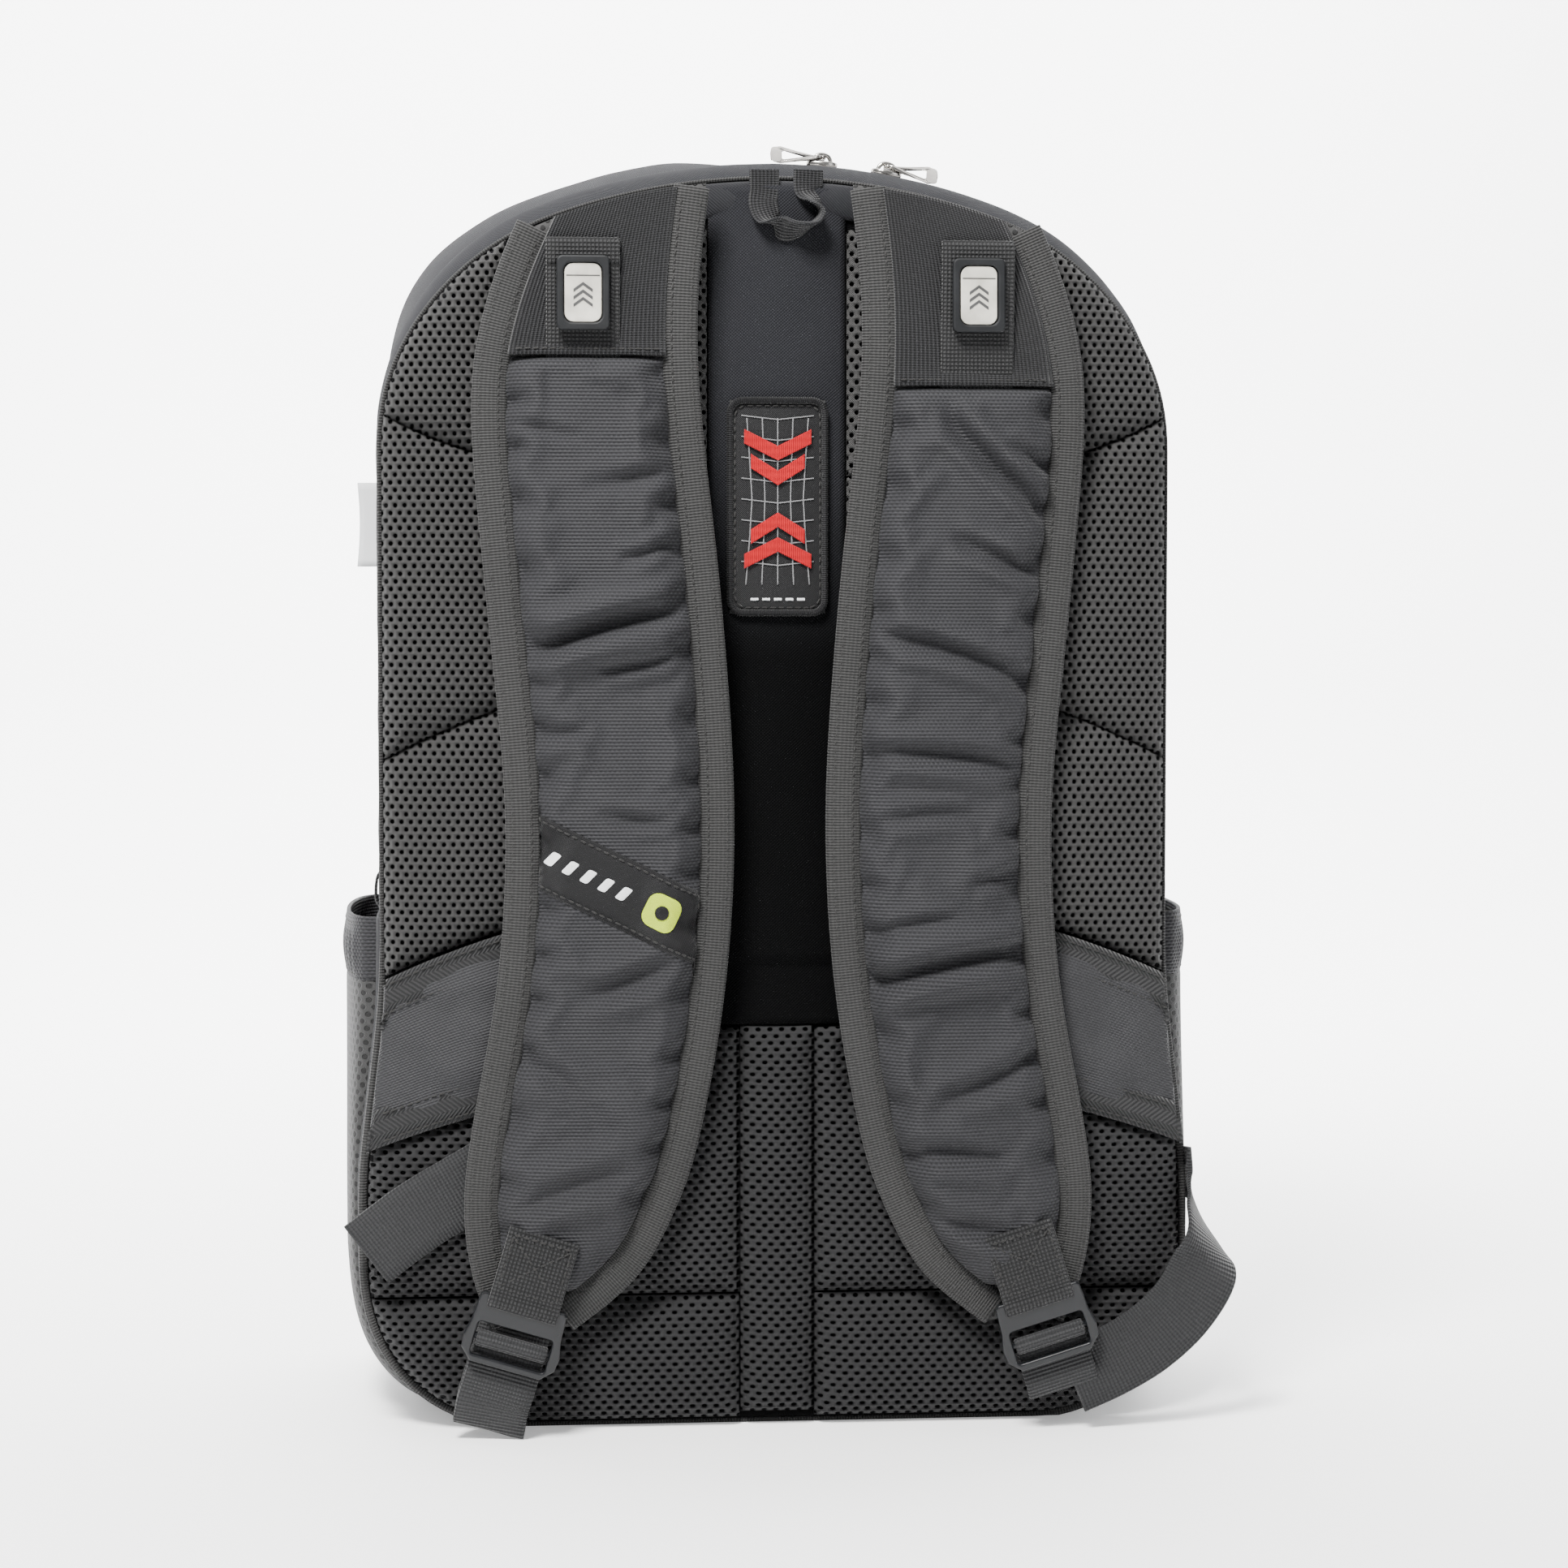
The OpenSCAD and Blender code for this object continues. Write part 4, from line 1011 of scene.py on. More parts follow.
def wing_upper(x):
    """Height of a wing's upper edge."""
    return WING_TOP + WING_RISE * (1 - (1 - wing_share(x)) ** 2)


def wing_lower(x):
    """Height of a wing's lower edge."""
    return WING_LOW + 26 * (1 - (1 - wing_share(x)) ** 2)


def crease_middle(x):
    """Height of the crease under the middle pads."""
    return (crease_upper(0) + WING_TOP + WING_RISE) / 2 + 6 - 34 * share_out(x) ** 2


def clipped(ring, inset):
    """Keeps an outline inside the body's outline, less an inset."""
    ring = resample(np.concatenate([ring, ring[:1]]), 260)[:-1]
    out = []
    for x, z in ring:
        side = 1 if x >= 0 else -1
        z = np.clip(z, inset + 1.01, top_at(0, inset, True) - 0.01)
        z = min(z, float(top_at(min(abs(x), HALF_W - inset - 8), inset, True)))
        x = side * min(abs(x), float(HALF_AT(z, inset)))
        out.append((x, z))
    return np.array(out)


edge_tables = {}


def HALF_AT(z, inset):
    """Half the body's width at a height, less an inset."""
    if inset not in edge_tables:
        edge_tables[inset] = back_half(inset)
    half = edge_tables[inset]
    return np.interp(z, half[:, 1], half[:, 0])


def pad_ring(low, high, inner, side, inset=0.4, outer=HALF_TUB):
    """Outline of a pad between two height lines, from the channel to the body's edge."""
    xs = np.linspace(inner, outer, 40)
    lower = [(side * x, low(x)) for x in xs]
    upper = [(side * x, high(x)) for x in xs[::-1]]
    return clipped(np.array(lower + upper), inset)


def yoke_limit(x):
    """Lower edge of the yoke panel, or the body's top beside it."""
    return np.where(np.abs(x) < YOKE_X,
                    top_at(np.minimum(np.abs(x), HALF_W - YOKE_IN - 1), YOKE_IN) - 0.5, TOP_Z)


def pad_height(d, thickness, edge=13.0, crown=3.4, reach=38.0, low=1.8):
    """Height of a stuffed pad over its backing, at a distance from its sewn edge."""
    dome = np.clip(d / reach, 0, 1)
    return low + (thickness - low) * round_edge(d, edge) + crown * np.sin(dome * math.pi / 2)


pad_sag = Ripples(11, 70)


def pad_face(points, ring, extra=0.0):
    d, near = distance(points, ring)
    out = d < 0
    points = np.where(out[:, None], near, points)
    d = np.maximum(d, 0)
    h = pad_height(d, PAD_H - 1.2) + 0.7 * pad_sag(points[:, 0], points[:, 1]) * np.clip(d / 12, 0, 1)
    return points, BACK_Y - h + extra, d


def mesh_pad(name, ring, pattern=UPPER_MESH, body="pack_body", replaces=(), yarn="yarn"):
    """A padded panel of air mesh: a dark stuffed form under a net whose holes are real."""
    low, high = ring.min(0), ring.max(0)
    step = 4.0
    nx, nz = int((high[0] - low[0]) / step) + 2, int((high[1] - low[1]) / step) + 2
    gx, gz = np.meshgrid(np.linspace(low[0], high[0], nx), np.linspace(low[1], high[1], nz))
    flat = np.stack([gx.ravel(), gz.ravel()], 1)
    d, _ = distance(flat, ring)
    inside = d.reshape(nz, nx) > -step * 0.75
    pts, y, _ = pad_face(flat, ring, 2.4)
    front = np.stack([pts[:, 0], np.minimum(y, BACK_Y - 0.4), pts[:, 1]], 1)
    faces, used = [], np.zeros(nx * nz, bool)
    for i in range(nz - 1):
        for j in range(nx - 1):
            if inside[i:i + 2, j:j + 2].all():
                quad = (i * nx + j, i * nx + j + 1, (i + 1) * nx + j + 1, (i + 1) * nx + j)
                faces.append(quad)
                used[list(quad)] = True
    back = front.copy()
    back[:, 1] = BACK_Y - 0.05
    count = len(front)
    bottom = [tuple(count + k for k in f[::-1]) for f in faces]
    edges = {}
    for f in faces:
        for a, b in zip(f, f[1:] + f[:1]):
            edges[(a, b)] = edges.get((a, b), 0) + 1
    rim = [(b, a, a + count, b + count) for a, b in edges if (b, a) not in edges]
    verts = np.concatenate([front, back])
    keep = np.concatenate([used, used])
    index = np.cumsum(keep) - 1
    faces = [tuple(index[k] for k in f) for f in faces + bottom + rim]
    core = make(name, verts[keep], faces, CLOTHS["foam"], body, replaces=replaces, slot="air_mesh")

    pitch_u, pitch_v, half_u, half_v = pattern
    rows = int((high[1] - low[1]) / pitch_v) + 2
    cols = int((high[0] - low[0]) / pitch_u) + 3
    centres = np.array([(low[0] + (c + 0.5 * (r % 2)) * pitch_u, low[1] + (r + 0.35) * pitch_v)
                        for r in range(rows) for c in range(cols)])
    d, _ = distance(centres, ring)
    centres = centres[d > -0.8]
    hx, hz = pitch_u / 2, pitch_v / 2
    outer = [(-hx, -hz), (0, -hz), (hx, -hz), (hx, 0), (hx, hz), (0, hz), (-hx, hz), (-hx, 0)]
    angle = [math.atan2(z / hz, x / hx) for x, z in outer]
    hole = [(half_u * math.cos(a), half_v * math.sin(a)) for a in angle]
    rings = np.array([outer, hole, [(0.85 * x, 0.85 * z) for x, z in hole]])
    drop = np.array([0.0, 0.38, 1.9])
    flat = (centres[:, None, None] + rings[None]).reshape(-1, 2)
    pts, y, _ = pad_face(flat, ring)
    y = y + np.tile(np.repeat(drop, 8), len(centres))
    y = np.minimum(y, BACK_Y - 0.3)
    verts = np.stack([pts[:, 0], y, pts[:, 1]], 1)
    tile = np.array(grid_faces(3, 8, False, True))
    faces = (tile[None] + 24 * np.arange(len(centres))[:, None, None]).reshape(-1, 4)
    return make(name + "_net", verts, faces, CLOTHS[yarn], body, slot="air_mesh")


def above(line, amount):
    """A height line moved up."""
    return lambda x: line(x) + amount


for side, word in ((-1, "left"), (1, "right")):
    top_ring = pad_ring(above(crease_upper, 0.1), lambda x: np.minimum(yoke_limit(x), TOP_Z), CHANNEL, side)
    mesh_pad("upper_pad_" + word, top_ring, replaces=("mesh_pads_" + word,))
    mesh_pad("middle_pad_" + word,
             pad_ring(above(crease_middle, 0.1), above(crease_upper, -0.1), CHANNEL, side))
    mesh_pad("lower_pad_" + word,
             pad_ring(above(wing_upper, 0.3), above(crease_middle, -0.1), CHANNEL, side))
    lumbar_half = pad_ring(lambda x: 0 * x + 52.1,
                           lambda x: np.where(x < CHANNEL - 1, LUMBAR_Z - 1, wing_lower(x) - 1.5),
                           14.6, side, 1.5)
    # The hip and low pads take the yarn copy with painted shade.
    mesh_pad("hip_pad_" + word, lumbar_half, LOWER_MESH, replaces=("lumbar_pads",) if side > 0 else (),
             yarn="yarn_painted_shade")
    base_half = pad_ring(lambda x: 0 * x + 3, lambda x: 0 * x + 51.9, 14.6, side, 1.5)
    mesh_pad("low_pad_" + word, base_half, LOWER_MESH, yarn="yarn_painted_shade")
spine = clipped(np.array([(-14.4, 5), (14.4, 5), (14.4, LUMBAR_Z), (-14.4, LUMBAR_Z)]), 4.0)
# The spine pad also takes the yarn copy with painted shade.
mesh_pad("spine_pad", spine, LOWER_MESH, yarn="yarn_painted_shade")

# The air channel's cloth, the yoke over the pads and the wings beside the hip pads.


def panel(name, x_edges, low, high, y_of, material, body="pack_body", cols=24, rows=60, **more):
    """A cloth panel between two sides and two height lines. y_of(x, z, s, t) gives its depth."""
    points = []
    for t in np.linspace(0, 1, rows):
        row = []
        for s in np.linspace(0, 1, cols):
            x = x_edges[0] * (1 - s) + x_edges[1] * s
            z = low(x) * (1 - t) + high(x) * t
            row.append((x, y_of(x, z, s, t), z))
        points.append(row)
    return sheet(name, points, material, body, **more)


def swell(s, t, edge=0.12):
    """0 on the sides of a unit square, 1 in its middle."""
    return min(1, min(s, 1 - s) / edge, min(t, 1 - t) / edge)


folds = Ripples(21, 30, stretch=0.35)
panel("channel_cloth", (-CHANNEL + 0.5, CHANNEL - 0.5), lambda x: LUMBAR_Z + 0.5,
      lambda x: float(top_at(x, 11)),
      lambda x, z, s, t: BACK_Y - 1.6 - 3.0 * math.sin(math.pi * s) ** 0.7 - 0.5 * folds(x, z) * swell(s, t)
      + 1.6 * max(0, 1 - (LUMBAR_Z + 24 - z) / 24 if z < LUMBAR_Z + 24 else 0),
      CLOTHS["channel"], rows=140, replaces=("centre_panel",), slot="black_nylon", thick=0.8)

yoke_fold = Ripples(8, 24, stretch=0.5)
rows = []
for t in np.linspace(0, 1, 16):
    row = []
    for s in np.linspace(-1, 1, 140):
        x = s * (YOKE_X - 2)
        z = float(top_at(x, YOKE_IN - 3)) * (1 - t) + float(top_at(x, 0.8, True)) * t
        fold = yoke_fold(x, z) * swell(0.5 + s / 2, t, 0.2)
        row.append((x, BACK_Y - 1.2 - 2.4 * math.sin(math.pi * t) ** 0.6 - 0.8 * fold, z))
    rows.append(row)
sheet("yoke_cloth", rows, CLOTHS["twill"], "pack_body", replaces=("yoke_panel",), slot="black_nylon",
      thick=1.0)
for side, word in ((-1, "left"), (1, "right")):
    edge = [(side * x, BACK_Y - 3.1, float(top_at(x, YOKE_IN - 6.5)))
            for x in np.linspace(31, YOKE_X - 4, 40)]
    stitches("yoke_stitch_" + word, edge, "pack_body")

for side, word in ((-1, "left"), (1, "right")):
    wing_fold = Ripples(31 + side, 34, stretch=1.4)

    def wing_y(x, z, s, t):
        return PAD_Y + 2.2 + 2.0 * (1 - swell(s, t, 0.1)) - 2.6 * math.sin(math.pi
            * s) * math.sin(math.pi * t) \
            - 2.0 * wing_fold(x, z) * swell(s, t, 0.2)

    outer = HALF_TUB - 1.0
    rows = []
    for t in np.linspace(0, 1, 36):
        row = []
        for s in np.linspace(0, 1, 50):
            x = CHANNEL + 1 + s * (outer - CHANNEL - 1)
            z = wing_lower(x) + 0.5 + t * (wing_upper(x) - 2.5 - wing_lower(x))
            x = min(x, float(HALF_AT(z, 1.6)))
            row.append((side * x, wing_y(side * x, z, s, t), z))
        rows.append(row)
    sheet("wing_cloth_" + word, rows, CLOTHS["wing"], "pack_body", flip=side > 0,
          replaces=("wing_panels",), slot="black_nylon",
          thick=1.2)
    for kind, line, low, high in (("top", wing_upper, -15.5, -0.2), ("bottom", wing_lower, -1.0, 14.0)):
        rows = []
        for s in np.linspace(0, 1, 60):
            x = CHANNEL + 1 + s * (outer - CHANNEL - 1)
            row = []
            for t in np.linspace(0, 1, 9):
                z = line(x) + low + t * (high - low)
                bow = 0.9 * math.sin(math.pi * t) ** 0.5
                near = PAD_Y + 1.2 - bow - 1.0 * wing_fold(side * x, z) * 0.5
                xx = min(x, float(HALF_AT(z, 1.2)))
                row.append((side * xx, near, z))
            rows.append(row)
        sheet("wing_tape_" + kind + "_" + word, rows, CLOTHS["herringbone"], "pack_body", flip=side > 0,
              thick=1.3,
              replaces=("wing_trims",) if kind == "top" else (), slot="webbing")
        for t, tag in ((low + 2.2, "a"), (high - 2.2, "b")):
            line_points = [(side * x, PAD_Y + 0.05 - 0.5 * wing_fold(side * x, line(x) + t), line(x) + t)
                           for x in np.linspace(CHANNEL + 3, outer - 7, 50)]
            stitches("wing_stitch_" + kind + tag + "_" + word, line_points, "pack_body")

# ---------------------------------------------------------------- shoulder straps


def strap_line(column, inset=0.0):
    """Edge of a strap as X and Z, from the top down; column 1 is the inner edge, 2 the outer one."""
    rows = np.array([(r[0], r[column]) for r in STRAP])
    fine = spline_through(rows, 10)
    line = np.stack([fine[:, 1], STRAP_TOP - fine[:, 0] * (STRAP_TOP - STRAP_LOW)], 1)
    line = resample(smoothed(line, 6), 160)
    n = normals_2d(line, False)
    inward = -n if column == 1 else n
    inward = inward * np.sign((inward[:, :1] * (1 if column == 1 else -1)))
    line = line + inward * inset
    return line


def trimmed_top(line, inset=10.0):
    """Starts a strap edge at the seam under the body's top outline."""
    keep = line[:, 1] <= top_at(line[:, 0], inset)
    return line[np.argmax(keep):]


INNER = strap_line(1)
OUTER = strap_line(2)
INNER_PAD = strap_line(1, BINDING - 1)
OUTER_PAD = strap_line(2, BINDING - 1)


def x_at(line, z):
    """Place across of a strap's edge at a height."""
    order = np.argsort(line[:, 1])
    return np.interp(z, line[order, 1], line[order, 0])


def strap_grid(inner, outer, rows, cols, top, low):
    """Points across a strap from a top line top(x) down to a height. Returns X, Z and the unit places."""
    s, t = np.meshgrid(np.linspace(0, 1, cols), np.linspace(0, 1, rows))
    z = STRAP_TOP + (low - STRAP_TOP) * t
    for _ in range(3):
        x = x_at(inner, z) * (1 - s) + x_at(outer, z) * s
        z = top(x) + (low - top(x)) * t
    return x, z, s, t


CREASES = {
    -1: [((-101, 300), (-42, 318), 5, 3.4, 0.6), ((-44, 300), (-66, 296), 3, 1.4, 0.5),
         ((-40, 345), (-58, 338), 3, 1.3, 0.5),
         ((-101, 268), (-78, 272), 3.5, 1.3, 0.5), ((-40, 372), (-70, 366), 4, 1.2, 0.5),
         ((-46, 238), (-66, 240), 3, 1.0, 0.5),
         ((-104, 388), (-80, 384), 3, 0.9, 0.5), ((-108, 150), (-84, 140), 5, 1.2, 0.5),
         ((-96, 92), (-62, 104), 6, 1.3, 0.5),
         ((-47, 182), (-72, 172), 5, 1.4, 0.5)],
    1: [((108, 352), (66, 388), 4.5, 2.2, 0.6), ((107, 330), (70, 344), 4, 1.9, 0.6),
        ((42, 308), (98, 290), 4.5, 2.2, 0.6),
        ((36, 264), (92, 258), 4.5, 2.0, 0.6), ((40, 238), (70, 240), 3.5, 1.2, 0.5),
        ((38, 176), (96, 188), 5, 3.0, 0.7),
        ((40, 196), (64, 200), 3, 1.2, 0.5), ((99, 222), (76, 214), 3.5, 1.5, 0.5),
        ((97, 146), (66, 132), 5, 1.8, 0.5),
        ((46, 110), (82, 108), 5, 2.0, 0.5), ((52, 84), (84, 78), 5, 1.6, 0.5),
        ((110, 372), (88, 380), 3, 1.2, 0.5)],
}


COVER_ROWS, COVER_COLS = 96, 20
PUFF = {}           # per strap: heights, places across and how far the simulated cloth rose there


def puffed(side, z, s):
    """How far the simulated cloth stands over its sewn shape."""
    if side not in PUFF:
        return 0.0 * np.asarray(z)
    heights, places, rise = PUFF[side]
    i = np.clip(np.interp(z, heights[::-1], np.arange(len(heights))[::-1]), 0, len(heights) - 1.001)
    j = np.clip(np.interp(s, places, np.arange(len(places))), 0, len(places) - 1.001)
    a, b = np.floor(i).astype(int), np.floor(j).astype(int)
    u, v = i - a, j - b
    return ((rise[a, b] * (1 - v) + rise[a, b + 1] * v) * (1 - u)
            + (rise[a + 1, b] * (1 - v) + rise[a + 1, b + 1] * v) * u)


def fill_cushion(side, top_line):
    """Simulates a strap cushion's cover: sewn down all round, a little full, pressed out from inside."""
    x, z, s, t = strap_grid(INNER_PAD, OUTER_PAD, COVER_ROWS, COVER_COLS, top_line, STRAP_LOW + 15)
    y, _ = cushion_face(x, z, s, side, top_line)
    start = np.stack([side * x, y, z], 2) / 1000
    mesh = bpy.data.meshes.new("cover")
    mesh.from_pydata(start.reshape(-1, 3).tolist(), [], grid_faces(COVER_ROWS, COVER_COLS, flip=side < 0))
    cover = bpy.data.objects.new("cover", mesh)
    scene.collection.objects.link(cover)
    sewn = [i * COVER_COLS + j for i in range(COVER_ROWS) for j in range(COVER_COLS)
            if i in (0, COVER_ROWS - 1) or j in (0, COVER_COLS - 1)]
    cover.vertex_groups.new(name="sewn").add(sewn, 1.0, "REPLACE")
    cloth = cover.modifiers.new("cloth", "CLOTH")
    how = cloth.settings
    how.quality = 8
    how.mass = 0.2
    how.tension_stiffness = how.compression_stiffness = 12
    how.shear_stiffness = 6
    how.bending_stiffness = 0.05
    how.use_pressure = True
    how.uniform_pressure_force = 4
    how.shrink_min = -0.05
    how.vertex_group_mass = "sewn"
    how.effector_weights.gravity = 0
    cloth.point_cache.frame_start, cloth.point_cache.frame_end = 1, 20
    for frame in range(1, 21):
        scene.frame_set(frame)
    graph = bpy.context.evaluated_depsgraph_get()
    solved = cover.evaluated_get(graph).to_mesh()
    end = np.empty(len(solved.vertices) * 3)
    solved.vertices.foreach_get("co", end)
    rise = (start[..., 1] - end.reshape(start.shape)[..., 1]) * 1000
    scene.frame_set(1)
    bpy.data.objects.remove(cover)
    bpy.data.meshes.remove(mesh)
    rise = np.nan_to_num(rise)
    PUFF[side] = (z[:, COVER_COLS // 2], s[0], np.clip(rise, -1.6, 2.2))


def cushion_face(x, z, s, side, top_line):
    """Depth of a strap cushion's face: crowned, puckered at its sewn edges and creased where it has bent."""
    width = x_at(OUTER_PAD, z) - x_at(INNER_PAD, z)
    d = np.minimum(s, 1 - s) * width
    end = np.minimum(top_line(x) - z, 999)
    foot = z - (STRAP_LOW + 16)
    edge = np.minimum(np.minimum(d, end * 1.6), foot * 1.3)
    h = 1.0 + 8.0 * round_edge(edge, 13) + 1.5 * np.sin(math.pi * np.clip(s, 0, 1))
    r = random.Random(40 + side)
    which = np.where(s < 0.5, 0.0, 1.0)
    phase = 2 * math.pi * z / 21 + which * 2 + 1.3 * np.sin(z / 17 + which * 3 + side)
    pucker = np.exp(-((d - 2) / 6) ** 2) * (0.5 + 0.5 * np.sin(phase)) ** 2
    h = h - 5.4 * pucker * np.clip(foot / 40, 0, 1)
    bias = Ripples(50 + side, 46, stretch=1.5)
    h = h + 0.8 * bias(x, z) * np.clip(edge / 15, 0, 1)
    for a, b, width, depth, bulge in CREASES[side]:
        h = h + 2.1 * crease(side * x, z, a, b, width * 0.75, depth, bulge) * np.clip(edge / 5 + 0.35, 0, 1)
    h = h + puffed(side, z, s)
    return CUSHION_Y - np.maximum(h, 0.6), d


for side, word in ((-1, "left"), (1, "right")):
    body = "strap_" + word
    seam = lambda x: top_at(x, 10.5)
    yoke_low = YOKE_LOW[side]

    # Back layer of the strap, a thin padded form.
    x, z, s, t = strap_grid(strap_line(1, 1.0), strap_line(2, 1.0), 110, 14, seam, STRAP_LOW + 1)
    front = np.stack([side * x, np.full_like(x, CUSHION_Y - 0.2), z], 2)
    under = np.stack([side * x, FLANGE_Y + 0.4 * np.sin(math.pi * s) - 0.2, z], 2)
    verts, faces = pillow(front, under, side < 0)
    base = make("strap_back_" + word, verts, faces, CLOTHS["mesh"], body,
                replaces=("strap_base_" + word,), slot="air_mesh")

    # Ribbed binding down both edges.
    for tag, line in (("inner", INNER), ("outer", OUTER)):
        line = resample(trimmed_top(line, 10.0 if tag == "inner" else 4.5), 190)
        n = normals_2d(line, False)
        sign = 1 if tag == "inner" else -1
        n = n * np.sign(n[:, :1] * sign)
        wave = Ripples(60 + side, 60)
        path = np.stack([side * line[:, 0], CUSHION_Y + 0 * line[:, 0], line[:, 1]], 1)
        across = np.stack([side * n[:, 0], 0 * n[:, 0], n[:, 1]], 1)
        up = np.tile(np.array([0.0, -1, 0]), (len(path), 1))
        profile = [(0.2, -2.6), (-0.5, -1.2), (-0.5, 0.4), (0.1, 1.5), (1.4, 2.1), (4, 2.5), (8, 2.5),
                   (11.2, 2.2), (12.6, 1.5),
                   (13.1, 0.4), (12.8, -0.6)]
        points = sweep(path, across, up, profile)
        points[..., 1] += 0.35 * wave(points[..., 0] * 1.5, points[..., 2])
        length = np.concatenate([[0], np.cumsum(np.linalg.norm(np.diff(path, axis=0), axis=1))])
        girth = np.concatenate([[0], np.cumsum(np.linalg.norm(np.diff(np.array(profile), axis=0), axis=1))])
        uvs = np.array([[g, v] for v in length for g in girth]) / 1000
        sheet("strap_binding_" + tag + "_" + word, points, CLOTHS["binding"], body,
              flip=(side * sign) > 0, uvs=uvs, thick=0.7,
              slot="webbing")
        seam_path = path + across * 9.6 + up * 2.55
        seam_path[:, 1] += 0.35 * wave(seam_path[:, 0] * 1.5, seam_path[:, 2])
        stitches("strap_stitch_" + tag + "_" + word, seam_path[2:-4], body)
        seam_path = path + across * 2.2 + up * 2.3
        seam_path[:, 1] += 0.35 * wave(seam_path[:, 0] * 1.5, seam_path[:, 2])
        stitches("strap_stitch_edge_" + tag + "_" + word, seam_path[2:-4], body, radius=0.24, length=1.8,
                 gap=1.3)

    # The cushion.
    top_line = lambda x: 0 * x + yoke_low - 0.5
    fill_cushion(side, top_line)
    x, z, s, t = strap_grid(INNER_PAD, OUTER_PAD, 210, 40, top_line, STRAP_LOW + 15)
    y, d = cushion_face(x, z, s, side, top_line)
    front = np.stack([side * x, y, z], 2)
    under = np.stack([side * x, np.full_like(x, CUSHION_Y - 0.35), z], 2)
    verts, faces = pillow(front, under, side < 0)
    pad = make("strap_pad_" + word, verts, faces, CLOTHS["face"], body,
               replaces=("strap_cushion_" + word,), slot="black_nylon")

    # Ribbed webbing panel over the top of the strap.
    x, z, s, t = strap_grid(INNER_PAD, OUTER_PAD, 60, 36, seam, yoke_low)
    bump = Ripples(70 + side, 40)
    y = CUSHION_Y - 1.3 - 1.6 * np.sin(math.pi * s) ** 0.6 - 0.5 * bump(x,
        z) * np.sin(math.pi * s) - 1.6 * np.exp(-((1 - t) / 0.06) ** 2)
    sheet("strap_yoke_cloth_" + word, np.stack([side * x, y, z], 2), CLOTHS["ribs"], body, flip=side < 0,
          thick=1.2,
          replaces=("strap_yoke_" + word,), slot="webbing")
    lower = [(side * a, CUSHION_Y - 4.9, yoke_low + 2.4)
             for a in np.linspace(x_at(INNER_PAD, yoke_low) + 2, x_at(OUTER_PAD, yoke_low) - 2, 30)]
    stitches("strap_yoke_stitch_" + word, lower, body)

# ---------------------------------------------------------------- tabs, badges and buckles on the straps

BUCKLE_X = 99
BUCKLE_Z = 53
LEAN = math.radians(17)
BAR_Y = FACE_Y - WEBBING_T / 2 - 0.4
LOAD_X = 75
LOAD_HIGH = STRAP_TOP - 23


def on_bar(side):
    """Points of a strap's hanging end, from its hinge bar: x across, y towards the front, z up."""
    def place(x, y, z):
        return (side * (BUCKLE_X + x * math.cos(LEAN) - z * math.sin(LEAN)), BAR_Y + y,
                BUCKLE_Z + x * math.sin(LEAN) + z * math.cos(LEAN))
    return place


